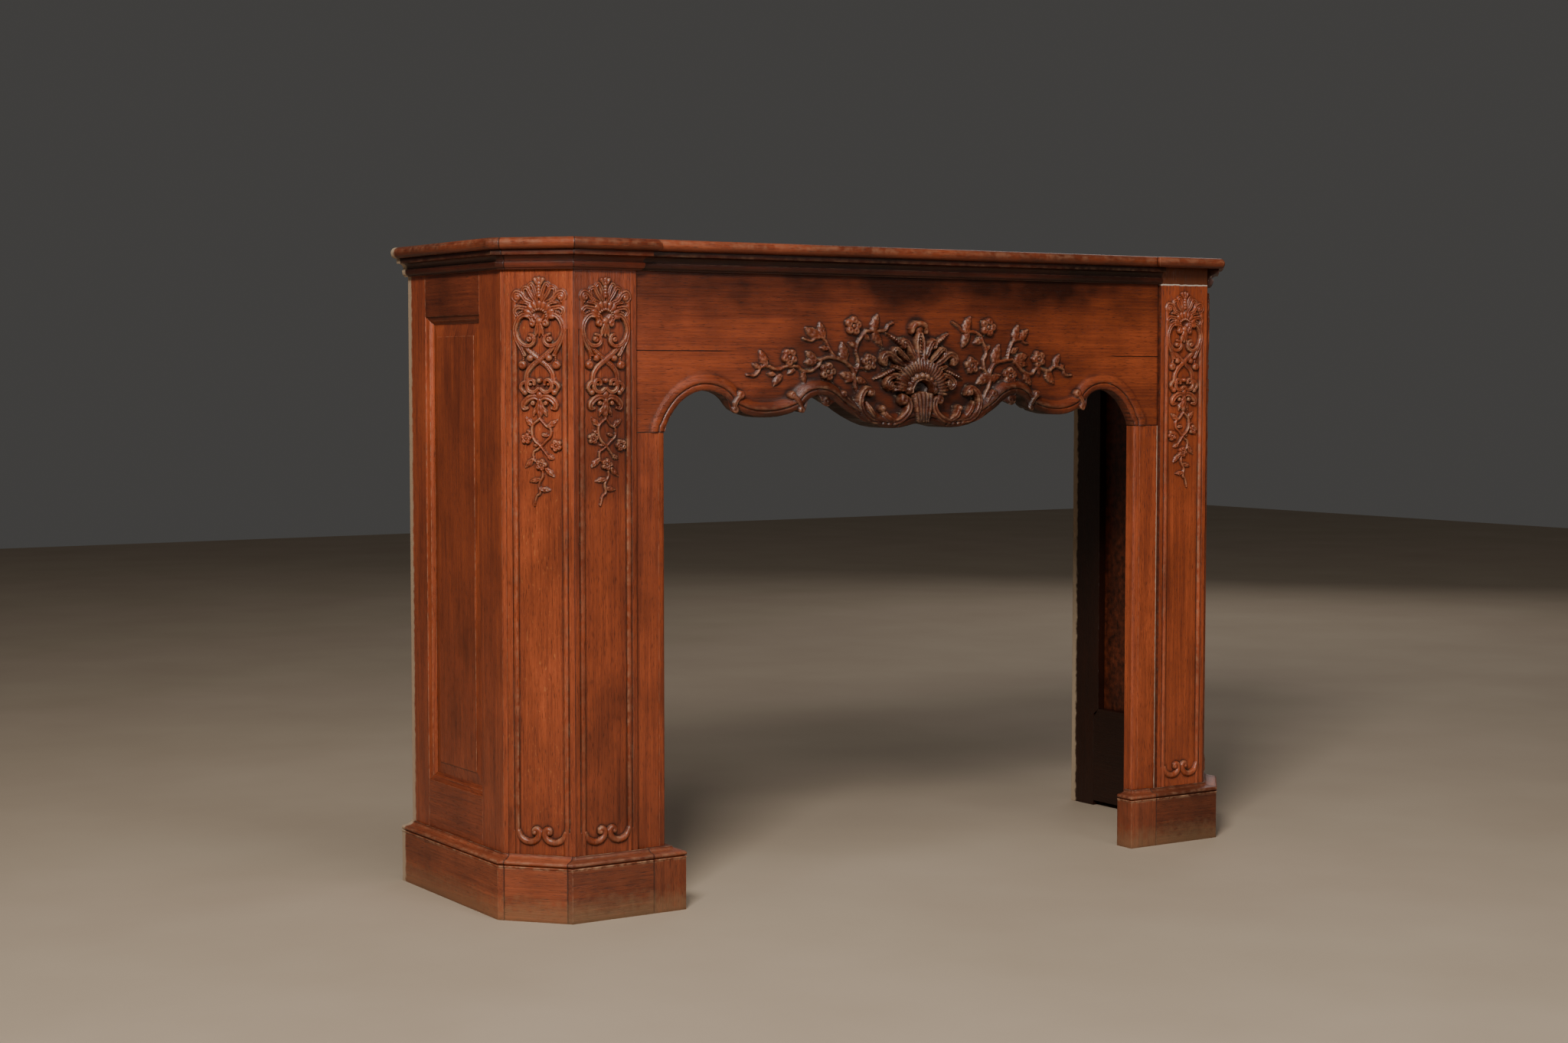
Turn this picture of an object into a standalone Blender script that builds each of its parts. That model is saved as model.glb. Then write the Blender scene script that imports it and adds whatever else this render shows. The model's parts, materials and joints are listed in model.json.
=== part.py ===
"""Carved oak fireplace mantel with canted corners, standing on its feet.

Metres, +Z up. The front faces -Y and +X runs along it to the right. The origin is on the floor, midway
between the ends of the shelf and midway between the front of the nosing and the back edge of the sides.
"""
import math

import bmesh
import bpy
from mathutils import Matrix, Vector

MM = 0.001
GAP = 0.0003          # clearance kept between two pieces that touch

# Overall sizes
HEIGHT = 1.100        # floor to the top of the shelf
BODY_HALF = 0.7582    # centre line to the outer face of a side
CANT_ACROSS = 0.0833  # how far the cant runs in from the side
CANT_DEPTH = 0.0928   # how far the cant runs back from the front
DEPTH = 0.4518        # face of the front pilasters to the back edge of the sides

# Shelf and its mouldings
SHELF_T = 0.019       # thickness of the shelf and of its nosing
NOSE_OUT = 0.032      # how far the nosing stands out from the face below
NOSE_W = 0.026        # width of the nosing strip
CORNICE_H = 0.031     # height of the bed moulding
END_GRAIN = 0.010     # how much of a side piece's end shows on the cant

# Pilasters, frieze and jambs
PILASTER_W = 0.1149   # width of a front pilaster
PILASTER_T = 0.030    # thickness of a pilaster board
STEP_BACK = 0.007     # frieze and jambs lie this far behind the pilasters
BOARD_T = 0.023       # thickness of frieze and jambs
JAMB_W = 0.0565       # width of a jamb beside its pilaster
FRIEZE_H = 0.2628     # cornice down to the joint with the jambs, where the arches spring
EDGE_W = 0.012        # width of the roll worked round the opening
EDGE_DROP = 0.004     # how far that roll falls back at the arris
FRIEZE_SLACK = 0.0012  # open joint at the right end of the frieze
SUNK = 0.0025         # how deep the field of a pilaster is sunk

# Sides
STILE_T = 0.034       # thickness of the stiles and rails
STILE_FRONT_W = 0.079  # width of the front stile of a side
STILE_BACK_W = 0.070  # width of the back stile of a side
STILE_LAP = 0.008     # how much of the front stile shows on the cant
RAIL_TOP_W = 0.101    # width of the top rail, shelf down to its lower edge
RAIL_BOTTOM_Z = 0.186  # upper edge of the bottom rail
RAIL_CLEAR = 0.010    # bottom rail stays this far off the floor
STICK_W = 0.014       # width of the moulding round the panel
STICK_D = 0.0107      # its depth
GROOVE_D = 0.009      # depth of the groove that holds the panel
TONGUE_T = 0.007      # thickness of the panel's tongue
FIELD_IN = 0.034      # rail edge to the raised field
FIELD_D = 0.006       # field's depth below the face of the stiles

# Plinth
PLINTH_H = 0.1053     # floor to the top of the plinth moulding
PLINTH_CAP = 0.0188   # height of the moulding worked on the top edge
PLINTH_OUT = 0.020    # how far the plinth stands out from the body
PLINTH_CANT_SHARE = 1.3  # on the cant it stands out this much more
PLINTH_FRONT_W = 0.1514  # width of the front board
PLINTH_INNER_W = 0.061  # width of the inner block
PLINTH_RETURN = 0.0412  # depth of the inner block inside the opening
PLINTH_LAP = 0.005    # how much of the front board's end shows on the cant
PLINTH_PAST = 0.0182  # how far the front board runs past the body's arris

# Places worked out from the sizes above
FACE_Y = NOSE_OUT - (DEPTH + NOSE_OUT) / 2
BACK_Y = FACE_Y + DEPTH
FRIEZE_Y = FACE_Y + STEP_BACK
SHELF_Z = HEIGHT - SHELF_T
CORNICE_Z = SHELF_Z - CORNICE_H
SPRING_Z = CORNICE_Z - FRIEZE_H
RAIL_TOP_Z = SHELF_Z - RAIL_TOP_W
CORNER_HALF = BODY_HALF - CANT_ACROSS
PILASTER_IN = CORNER_HALF - PILASTER_W
OPEN_HALF = PILASTER_IN - JAMB_W
CORNER = Vector((CORNER_HALF, FACE_Y))
SIDE_CORNER = Vector((BODY_HALF, FACE_Y + CANT_DEPTH))
CANT_DIR = (SIDE_CORNER - CORNER).normalized()
CANT_OUTWARD = Vector((CANT_DIR.y, -CANT_DIR.x))
MITRE = math.tan(math.atan2(CANT_DIR.y, CANT_DIR.x) / 2)


# Materials

def finish(name, colour, roughness):
    """A plain Principled material with one colour."""
    material = bpy.data.materials.new(name)
    material.use_nodes = True
    shader = material.node_tree.nodes["Principled BSDF"]
    shader.inputs["Base Color"].default_value = (*colour, 1.0)
    shader.inputs["Roughness"].default_value = roughness
    return material


# Making closed meshes

def make_object(name, bm, material):
    """Puts a bmesh into a new object of the scene, faces outwards."""
    bmesh.ops.recalc_face_normals(bm, faces=bm.faces)
    mesh = bpy.data.meshes.new(name)
    bm.to_mesh(mesh)
    bm.free()
    mesh.materials.append(material)
    thing = bpy.data.objects.new(name, mesh)
    bpy.context.scene.collection.objects.link(thing)
    return thing


def skin(bm, rings):
    """Joins closed rings of points one after another."""
    rows = [[bm.verts.new(point) for point in ring] for ring in rings]
    count = len(rows[0])
    for low, high in zip(rows, rows[1:]):
        for i in range(count):
            j = (i + 1) % count
            bm.faces.new((low[i], low[j], high[j], high[i]))
    return rows


def loft(bm, rings):
    """Joins closed rings and caps both ends."""
    rows = skin(bm, rings)
    bm.faces.new(rows[0][::-1])
    bm.faces.new(rows[-1])


def mirrored(points, side):
    """Turns points of the right half into those of the side asked for, +1 right and -1 left."""
    return [(side * x, y, z) for x, y, z in points]


def run(name, stations, profile, material, side=1):
    """A moulding: the profile of (out, z) points carried through stations that place it in plan."""
    bm = bmesh.new()
    loft(bm, [mirrored([(*place(out), z) for out, z in profile], side) for place in stations])
    return make_object(name, bm, material)


def prism(name, outline, low, high, material, side=1):
    """A board with the given outline in plan, from one height to another."""
    bm = bmesh.new()
    loft(bm, [mirrored([(x, y, z) for x, y in outline], side) for z in (low, high)])
    return make_object(name, bm, material)


def fuse(base, tool_bm, material):
    """Joins carved shapes to a board as one solid."""
    tool = make_object(base.name + "_carving", tool_bm, material)
    union = base.modifiers.new("Union", 'BOOLEAN')
    union.operation = 'UNION'
    union.solver = 'EXACT'
    union.use_self = True
    union.object = tool
    bake(base)
    bpy.data.objects.remove(tool)


def cut(base, tool_bm, material):
    """Cuts one shape out of a board."""
    tool = make_object(base.name + "_cut", tool_bm, material)
    difference = base.modifiers.new("Difference", 'BOOLEAN')
    difference.operation = 'DIFFERENCE'
    difference.solver = 'EXACT'
    difference.object = tool
    bake(base)
    bpy.data.objects.remove(tool)


def bake(thing):
    """Applies an object's modifiers to its mesh."""
    bpy.context.view_layer.update()
    evaluated = thing.evaluated_get(bpy.context.evaluated_depsgraph_get())
    mesh = bpy.data.meshes.new_from_object(evaluated)
    thing.modifiers.clear()
    thing.data = mesh


# Plan of the mantel, right half

def on_cant(out, along):
    """A point standing out from the cant, a distance along it from the front corner."""
    return CORNER + CANT_DIR * along + CANT_OUTWARD * out


def front_corner(front, cant):
    """Where a line in front of the front face meets one in front of the cant."""
    along = (-front - CANT_OUTWARD.y * cant) / CANT_DIR.y
    return on_cant(cant, along)


def side_corner(cant, side):
    """Where a line in front of the cant meets one beside the side."""
    length = (SIDE_CORNER - CORNER).length
    along = length + (side - CANT_OUTWARD.x * cant) / CANT_DIR.x
    return on_cant(cant, along)


CANT_LENGTH = (SIDE_CORNER - CORNER).length


def off(out):
    """How far a moulding's point stands off the body; its back keeps the clearance."""
    return max(out, GAP)


def at_break_in(out):
    """Inner mitre, where a moulding over the frieze meets its return beside the pilaster."""
    return (PILASTER_IN - off(out), FRIEZE_Y - off(out))


def at_break_out(out):
    """Outer mitre of that return."""
    return (PILASTER_IN - off(out), FACE_Y - off(out))


def at_back(out):
    """Square end at the back of a side."""
    return (BODY_HALF + off(out), BACK_Y)


class CantPlan:
    """Where a moulding's points lie in plan round the cant; there it may stand out by a share more."""

    def __init__(self, share):
        self.share = share

    def out(self, out):
        """How far a point stands off the cant."""
        return GAP + (off(out) - GAP) * self.share

    def corner(self, out):
        """Mitre between front and cant."""
        return front_corner(off(out), self.out(out))

    def past_corner(self, out):
        """The same mitre, a clearance further along the cant."""
        return self.corner(out) + CANT_DIR * GAP

    def side(self, out):
        """Mitre between cant and side."""
        return side_corner(self.out(out), off(out))

    def cut(self, short):
        """A square cut across the cant, a distance short of the side corner."""
        return lambda out: on_cant(self.out(out), CANT_LENGTH - short)


SHELF_PLAN = CantPlan(1.0)
PLINTH_PLAN = CantPlan(PLINTH_CANT_SHARE)


# Profiles, as points of distance out from the face and height

def nosing_profile():
    """Half-round nosing, seen in section, back to front."""
    middle = HEIGHT - SHELF_T / 2
    nose_flat = NOSE_OUT - SHELF_T / 2
    arc = [(nose_flat + math.cos(a) * SHELF_T / 2, middle + math.sin(a) * SHELF_T / 2)
           for a in (math.pi * step / 4 - math.pi / 2 for step in range(5))]
    inner = NOSE_OUT - NOSE_W
    return [(inner, SHELF_Z)] + arc + [(inner, HEIGHT)]


def cornice_profile():
    """Bed moulding: ovolo, quirk, cove and fillet, from the wall face outwards and up."""
    ovolo_out, ovolo_foot, ovolo_top = 0.011, 0.007, 0.012
    cove_in, cove_out, cove_top = 0.0085, 0.018, 0.0225
    fillet_out = 0.021
    points = [(0, 0), (ovolo_foot, 0), (ovolo_foot + 0.002, 0.003), (ovolo_out, 0.0075),
              (ovolo_out, ovolo_top), (cove_in, ovolo_top + 0.001)]
    for step in (1, 2, 3):
        turn = step / 3 * math.pi / 2
        points.append((cove_in + (cove_out - cove_in) * (1 - math.cos(turn)),
                       ovolo_top + 0.001 + (cove_top - ovolo_top - 0.001) * math.sin(turn)))
    points += [(fillet_out, cove_top), (fillet_out, CORNICE_H - GAP), (0, CORNICE_H - GAP)]
    return [(out, CORNICE_Z + z) for out, z in points]


def plinth_profile():
    """Plinth board with a fillet, a round nose and a cavetto worked on its top edge."""
    base = PLINTH_H - PLINTH_CAP
    fillet_out, fillet_top = PLINTH_OUT + 0.001, base + 0.0028
    quirk_out, nose_out, nose_top = PLINTH_OUT - 0.0025, PLINTH_OUT + 0.0012, base + 0.0115
    cove_out, cove_in = PLINTH_OUT - 0.0035, 0.0035
    points = [(0, 0), (PLINTH_OUT, 0), (PLINTH_OUT, base), (fillet_out, base + 0.0006), (fillet_out, fillet_top),
              (quirk_out, fillet_top + 0.0008), (nose_out, fillet_top + 0.0028), (nose_out, nose_top - 0.0025),
              (cove_out, nose_top)]
    for step in (1, 2):
        turn = step / 2 * math.pi / 2
        points.append((cove_out - (cove_out - cove_in) * math.sin(turn),
                       nose_top + (PLINTH_H - 0.0015 - nose_top) * (1 - math.cos(turn))))
    return points + [(cove_in, PLINTH_H), (0, PLINTH_H)]


# Carving: closed low shapes sunk a little into the ground of a board

class Carving:
    """Gathers carved shapes on one board; place turns (across, up, height) in mm into the board's space."""

    def __init__(self, place):
        self.bm = bmesh.new()
        self.place = place
        self.count = 0

    def sink(self):
        """Each shape is sunk a hair deeper than the last, so that no two bottoms lie in one plane."""
        self.count += 1
        return -2.0 - 0.011 * self.count

    def spot(self, s, z, h):
        """A point of the current shape, nudged a hair so that mirrored shapes never meet edge on edge."""
        return self.place(s + 0.021 * (self.count % 7), z + 0.017 * (self.count % 5), h)

    def rope(self, path, width, height, ends=(1.0, 1.0), flat=False):
        """A stem or scroll: a ridge along a path that swells and tapers, sharp or flat on top."""
        last = len(path) - 1
        sink = self.sink()
        section = ((-1, 0), (-0.5, 1), (0.5, 1), (1, 0)) if flat else ((-1, 0), (0, 1), (1, 0))
        rings = []
        for i, (s, z) in enumerate(path):
            before, after = path[max(i - 1, 0)], path[min(i + 1, last)]
            along = Vector((after[0] - before[0], after[1] - before[1])).normalized()
            across = Vector((-along.y, along.x))
            t = i / last
            size = (ends[0] + (1 - ends[0]) * min(1, 3 * t)) * (ends[1] + (1 - ends[1]) * min(1, 3 * (1 - t)))
            half = width / 2 * size
            top = height * (0.45 + 0.55 * size)
            rings.append([self.spot(s + across.x * k * half, z + across.y * k * half, top if up else sink)
                          for k, up in section])
        loft(self.bm, rings)

    def mound(self, outline, height, shrink=0.55):
        """A knob or tongue: an outline that rises to a smaller flat top."""
        sink = self.sink()
        middle_s = sum(p[0] for p in outline) / len(outline)
        middle_z = sum(p[1] for p in outline) / len(outline)
        base = [self.spot(s, z, sink) for s, z in outline]
        top = [self.spot(middle_s + (s - middle_s) * shrink, middle_z + (z - middle_z) * shrink, height)
               for s, z in outline]
        loft(self.bm, [base, top])

    def peak(self, outline, s, z, height):
        """A leaf or flower: an outline that rises to one point."""
        sink = self.sink()
        base = [self.bm.verts.new(self.spot(*point, sink)) for point in outline]
        tip = self.bm.verts.new(self.spot(s, z, height))
        for first, second in zip(base, base[1:] + base[:1]):
            self.bm.faces.new((first, second, tip))
        self.bm.faces.new(base[::-1])

    def knob(self, s, z, radius, height, sides=5):
        """A round boss."""
        self.mound([(s + radius * math.cos(a), z + radius * math.sin(a))
                    for a in (math.tau * (k + 0.3) / sides for k in range(sides))], height)

    def leaf(self, s, z, length, width, turn, height):
        """A leaf from its stalk at (s, z), pointing along turn in degrees."""
        along = Vector((math.cos(math.radians(turn)), math.sin(math.radians(turn))))
        across = Vector((-along.y, along.x))
        outline = []
        for t, k in ((0, 0), (0.35, 0.5), (1, 0), (0.72, -0.4), (0.3, -0.5)):
            spot = Vector((s, z)) + along * length * t + across * width * k
            outline.append((spot.x, spot.y))
        middle = Vector((s, z)) + along * length * 0.45
        self.peak(outline, middle.x, middle.y, height)

    def flower(self, s, z, radius, turn, height):
        """Five petals rising to the eye."""
        outline = []
        for k in range(10):
            angle = math.radians(turn) + math.pi * k / 5
            reach = radius * (0.68 if k % 2 else 1.08)
            outline.append((s + reach * math.cos(angle), z + reach * math.sin(angle)))
        self.peak(outline, s, z, height)


def flip(path, side):
    """A path of the right half, turned for the side asked for."""
    return [(side * s, z) for s, z in path]


# Pilasters

PILASTER_FRAME_HALF = 0.0425   # axis of the pilaster to the middle of the bead
FRAME_TOP = 0.080              # cornice down to the top of the bead's arches
FRAME_FOOT = 0.045             # plinth up to where the bead starts to turn in


def frame_path():
    """Middle line of the bead round a pilaster's field, right half, from the top centre to the foot volute."""
    half = PILASTER_FRAME_HALF / MM
    top = (CORNICE_Z - FRAME_TOP) / MM
    foot = (PLINTH_H + FRAME_FOOT) / MM
    head = [(3, top), (10, top + 6), (21, top + 8.5), (half - 3, top - 3), (half, top - 18)]
    turn_in = [(half, foot), (half - 4, foot - 15), (30, foot - 24), (14, foot - 23.5), (5.5, foot - 15)]
    hook = [(4, foot - 5), (12, foot - 3)]
    return head, turn_in, hook


def field_outline():
    """The sunk field inside the bead, as a closed loop."""
    head, turn_in, _ = frame_path()
    right = head + turn_in
    return right + flip(right[::-1], -1)


def pilaster_carving(carving, hand):
    """The hanging trophy: palmette, heart of scrolls, straps, leaves and a flowering vine.

    Heights are mm below the cornice. The vine is not symmetrical: hand is -1 on the left pilasters.
    """
    def up(path):
        return [(s, CORNICE_Z / MM - drop) for s, drop in path]

    for side in (1, -1):
        for tip, base, width in (((15, 24), (7, 52), 9), ((26, 30), (12, 55), 9), ((37, 45), (15, 58), 10),
                                 ((37, 68), (17, 63), 9)):
            carving.rope(up(flip([base, tip], side)), width, 5.5, ends=(0.5, 1.0))
        carving.knob(side * 36, CORNICE_Z / MM - 44, 5.5, 7)
        inner = [(10, 84), (20, 79.5), (31, 85), (35, 98), (31, 114), (20, 118.5), (8, 111)]
        carving.rope(up(flip(inner, side)), 8, 6.5, ends=(1.0, 0.7))
        carving.rope(up(flip([(37, 112), (31, 128), (25, 148)], side)), 5, 4.5)
        carving.knob(side * 29, CORNICE_Z / MM - 153, 7, 6.5)
        strap = [(25, 124), (0, 145 + side), (-21, 167), (-22, 181)]
        carving.rope(up(flip(strap, side)), 8, 4.2 + 0.6 * side)
        carving.knob(side * 13, CORNICE_Z / MM - 175, 6, 6)
        carving.knob(side * 8, CORNICE_Z / MM - 188, 8, 7)
        carving.rope(up(flip([(15, 183), (29, 184), (29, 197)], side)), 7, 6)
        carving.rope(up(flip([(3, 206), (16, 212), (29, 220)], side)), 10, 6.5, ends=(0.8, 0.6))
    carving.leaf(0, CORNICE_Z / MM - 55, 43, 22, 90, 6.5)
    carving.knob(0, CORNICE_Z / MM - 58, 15, 6, sides=8)
    carving.leaf(0, CORNICE_Z / MM - 78, 30, 15, -90, 7)
    carving.leaf(0, CORNICE_Z / MM - 208, 32, 20, -90, 6.2)
    vine = [(0, 241), (-12, 254), (-8, 270), (13, 291), (18, 302)]
    other = [(1, 241), (17, 252), (18, 270), (-6, 288), (-8, 300), (2, 311)]
    tail = [(4, 318), (4, 333), (0, 352), (-10, 377)]
    for path, height in ((vine, 5.2), (other, 4.2), (tail, 4.5)):
        carving.rope(up(flip(path, -hand)), 4, height, ends=(1.0, 0.8))
    for s, drop, length, width, turn in ((-10, 252, 18, 12, 130), (17, 250, 18, 12, 40), (20, 265, 15, 9, 175),
                                         (13, 298, 17, 11, 15), (-6, 305, 17, 11, 210),
                                         (1, 335, 20, 9, 175), (1, 350, 18, 9, 5)):
        direction = turn if hand < 0 else 180 - turn
        carving.leaf(-hand * s, CORNICE_Z / MM - drop, length, width, direction, 5)
    for s, drop, turn in ((-24, 270, 10), (28, 280, 40), (1, 309, 0)):
        carving.flower(-hand * s, CORNICE_Z / MM - drop, 11, turn, 6.5)


def make_pilaster(name, width, lean_left, lean_right, matrix, hand, material):
    """A pilaster board in its own space, face at y = 0, then set in its place.

    The leans say how far each edge runs in over the board's thickness, for the mitre at the corner.
    """
    half = width / 2
    top = SHELF_Z - GAP
    outline = [(-half, 0), (half, 0), (half - lean_right, PILASTER_T), (-half + lean_left, PILASTER_T)]
    board = prism(name, outline, 0, top, material)
    sunk = bmesh.new()
    loft(sunk, [[(s * MM, y, z * MM) for s, z in field_outline()] for y in (-0.01, SUNK)])
    cut(board, sunk, material)
    carving = Carving(lambda s, z, h: (s * MM, SUNK - h * MM, z * MM))
    head, turn_in, hook = frame_path()
    for side in (1, -1):
        carving.rope(flip(head + turn_in + hook, side), 7, 3.6 + 0.1 * side, ends=(0.8, 0.5))
    pilaster_carving(carving, hand)
    fuse(board, carving.bm, material)
    board.data.transform(matrix)
    return board


def make_pilasters(material):
    """Two pilasters on the front and two on the cants."""
    lean = PILASTER_T * MITRE
    front_w = PILASTER_W - GAP
    cant_w = CANT_LENGTH - STILE_LAP - 2 * GAP
    cant_angle = math.atan2(CANT_DIR.y, CANT_DIR.x)
    cant_middle = on_cant(0, GAP + cant_w / 2)
    for side, label in ((-1, "left"), (1, "right")):
        place = Matrix.Translation((side * (PILASTER_IN + GAP / 2 + front_w / 2), FACE_Y, 0))
        edges = (0, lean) if side > 0 else (lean, 0)
        make_pilaster("pilaster_front_" + label, front_w, *edges, place, side, material)
        place = (Matrix.Translation((side * cant_middle.x, cant_middle.y, 0))
                 @ Matrix.Rotation(side * cant_angle, 4, 'Z'))
        edges = (lean, 0) if side > 0 else (0, lean)
        make_pilaster("pilaster_cant_" + label, cant_w, *edges, place, side, material)


# Frieze

# Lower edge of the frieze, right half, in mm from the centre line and above the springing. It and the carving
# were laid out for a half opening of SCALLOP_HALF mm, and are spread or drawn in with the opening.
SCALLOP = [(0, 10), (45, 3.5), (70, 2.5), (100, 7), (150, 28), (175, 45), (191, 55.5), (210, 60), (228, 55),
           (243, 40), (255, 33.5), (280, 26), (310, 23), (345, 27), (370, 37), (387, 55), (403, 65), (425, 69),
           (450, 64), (474, 49), (494, 23)]
SCALLOP_HALF = 503.5
SPREAD = OPEN_HALF / MM / SCALLOP_HALF
SWELL = 9.5         # mm that the middle of the frieze swells forward
SWELL_HALF = 420.0  # half the width of the swelling
SWELL_FADE = 190.0  # mm below the cornice over which it fades out
FLARE = 14.0        # mm that the ground turns up to the roll near the middle
FLARE_FROM = 200.0  # from there outwards the flare dies away to the jambs
FLARE_W = 19.0      # mm from the roll back to the ground
HEAD_SPREAD = 0.04  # the sections lean outwards this much towards the top
LEFT_DRIFT = 8.0    # mm that the top of the left branch was carved too far to the right


def swell(s, z):
    """How far the ground of the frieze stands forward, in mm."""
    across = max(0.0, 1 - (s / (SWELL_HALF * SPREAD)) ** 2) ** 2
    t = max(0.0, min(1.0, (CORNICE_Z / MM - z) / SWELL_FADE))
    return SWELL * across * t


def flare(s):
    """How far the roll along the lower edge stands forward of the ground, in mm."""
    reach = (SCALLOP_HALF - abs(s) / SPREAD) / (SCALLOP_HALF - FLARE_FROM)
    return FLARE * max(0.0, min(1.0, reach))


def frieze_ring(foot, inward, mid, head_s):
    """One section of the frieze, from its foot on the lower edge up the front, over the top and down the back."""
    width, drop = EDGE_W / MM, EDGE_DROP / MM
    front, back = FRIEZE_Y / MM, (FRIEZE_Y + BOARD_T) / MM
    top = (SHELF_Z - GAP) / MM
    raised = flare(foot[0])
    ring = []
    for reach, rise in ((0, raised - drop), (width * 0.35, raised - drop * 0.3), (width, raised),
                        (width + FLARE_W, 0)):
        s, z = foot[0] + inward[0] * reach, foot[1] + inward[1] * reach
        ring.append((s, front - swell(s, z) - rise, z))
    ring.append((mid[0], front - swell(*mid), mid[1]))
    ring += [(head_s, front - swell(head_s, top), top), (head_s, back, top), (foot[0], back, foot[1])]
    return [(s * MM, y * MM, z * MM) for s, y, z in ring]


def frieze_rings():
    """Sections of the frieze along its lower edge, from one springing to the other."""
    spring = SPRING_Z / MM
    open_half = OPEN_HALF / MM
    right = [(s * SPREAD, spring + z) for s, z in SCALLOP] + [(open_half, spring)]
    edge = flip(right[:0:-1], -1) + right
    left_end, right_end = (-PILASTER_IN + GAP) / MM, (PILASTER_IN - FRIEZE_SLACK) / MM
    rings = [frieze_ring(edge[0], (-1, 0), (left_end, spring), left_end)]
    for before, foot, after in zip(edge, edge[1:], edge[2:]):
        along = Vector((after[0] - before[0], after[1] - before[1])).normalized()
        inward = (-along.y, along.x)
        head_s = foot[0] * (1 + HEAD_SPREAD)
        rings.append(frieze_ring(foot, inward, (head_s, CORNICE_Z / MM), head_s))
    rings.append(frieze_ring(edge[-1], (1, 0), (right_end, spring), right_end))
    return rings


def frieze_carving(carving):
    """Shell, tongue, acanthus scrolls and flowering branches; heights are mm above the springing."""
    base = SPRING_Z / MM

    def up(path):
        return [(s, base + z) for s, z in path]

    def acanthus(side):
        """The scroll from the tongue outwards along the lower edge, with its curled tongues."""
        main = [(44, 50), (33, 40), (34, 25), (62, 15), (103, 26), (150, 45), (190, 56), (204, 50)]
        carving.rope(up(flip(main, side)), 17, 19, ends=(0.7, 0.45), flat=True)
        carving.knob(side * 43, base + 51, 9, 20)
        carving.rope(up(flip([(60, 17), (78, 20), (87, 32)], side)), 12, 20, ends=(1, 0.6))
        carving.rope(up(flip([(84, 18), (106, 30), (113, 44)], side)), 12, 18, ends=(1, 0.5))
        hook = [(100, 24), (120, 39), (125, 60), (113, 71), (101, 66)]
        carving.rope(up(flip(hook, side)), 14, 17, ends=(1, 0.5))
        carving.rope(up(flip([(122, 32), (150, 58)], side)), 12, 14, ends=(1, 0.4))

    def curls(side):
        """Where the roll of the lower edge curls over at the cusps of the scallop."""
        carving.rope(up(flip([(385, 60), (373, 47), (376, 33)], side)), 10, 12, ends=(1, 0.7))
        carving.rope(up(flip([(240, 52), (249, 42), (246, 30)], side)), 10, 17, ends=(1, 0.7))
        carving.knob(side * 360, base + 61, 8, 12)
        carving.knob(side * 262, base + 59, 8, 15)

    def rays(side):
        """Lobes and beaded rods of the shell."""
        for tip, root, width in (((28, 155), (10, 120), 17), ((49, 138), (22, 116), 11), ((74, 127), (30, 110), 18),
                                 ((54, 108), (32, 100), 12), ((73, 84), (38, 92), 14), ((68, 70), (36, 80), 12)):
            carving.rope(up(flip([root, tip], side)), width, 15, ends=(0.6, 1.0))
        carving.knob(side * 76, base + 119, 9, 13)
        carving.rope(up(flip([(22, 138), (65, 166)], side)), 7, 9)
        carving.rope(up(flip([(45, 103), (93, 86)], side)), 7, 9)

    for side in (1, -1):
        acanthus(side)
        curls(side)
        rays(side)
        branch(carving, side, base)
    carving.leaf(0, base + 95, 90, 42, 90, 16)
    carving.knob(0, base + 166, 17, 17, sides=8)
    dome_half, dome_foot, dome_high = 37, 62, 52
    carving.mound([(dome_half * math.cos(a), base + dome_foot + dome_high * math.sin(a))
                   for a in (math.pi * k / 6 for k in range(7))], 15, 0.8)
    rim_half, rim_high = 29, 27
    carving.rope([(rim_half * math.cos(a), base + dome_foot + rim_high * math.sin(a))
                  for a in (math.pi * k / 5 for k in range(6))], 9, 19)
    tongue = [(2, 12), (16, 22), (25, 56), (10, 67), (-10, 67), (-25, 56), (-16, 22)]
    carving.mound(up(tongue), 20, 0.75)


def branch(carving, side, base):
    """One flowering branch, from its root in the acanthus scroll out to its tip."""
    stems = (([(132, 45), (142, 93), (158, 116), (180, 123), (205, 122), (218, 116)], 7),
             ([(217, 117), (235, 100), (256, 107), (280, 106), (303, 104), (318, 109), (332, 104), (354, 93)], 6.5),
             ([(182, 123), (201, 142), (214, 157), (248, 156)], 6),
             ([(142, 93), (135, 114), (140, 134), (122, 163), (106, 172), (84, 171), (62, 184)], 6.5))
    def spot(s, z):
        drift = LEFT_DRIFT * max(0, z - 90) / 90 if side < 0 else 0
        return (side * s + drift, base + z)

    for path, width in stems:
        carving.rope([spot(s, z) for s, z in path], width, 5 + width * 0.1, ends=(1, 0.7))
    leaves = ((316, 112, 25, 17, 115), (330, 107, 18, 12, 165), (296, 103, 24, 15, 225), (270, 104, 18, 13, 250),
              (240, 102, 22, 14, 235), (217, 117, 24, 19, 120), (222, 120, 22, 13, 190), (203, 142, 22, 14, 160),
              (212, 158, 26, 14, 150), (206, 158, 20, 15, 75), (164, 120, 34, 21, 95), (136, 140, 22, 13, 175),
              (92, 171, 30, 17, 75), (88, 170, 30, 19, -70), (142, 90, 32, 15, 165), (138, 92, 28, 15, -35))
    for s, z, length, width, turn in leaves:
        direction = 180 - turn if side > 0 else turn
        carving.leaf(*spot(s, z), length, width, direction, 6)
    for s, z, radius, turn in ((148, 179, 17, 10), (113, 121, 16, 30), (198, 101, 16, 0), (268, 124, 15, 50)):
        carving.flower(*spot(s, z), radius, turn, 9)


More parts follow.
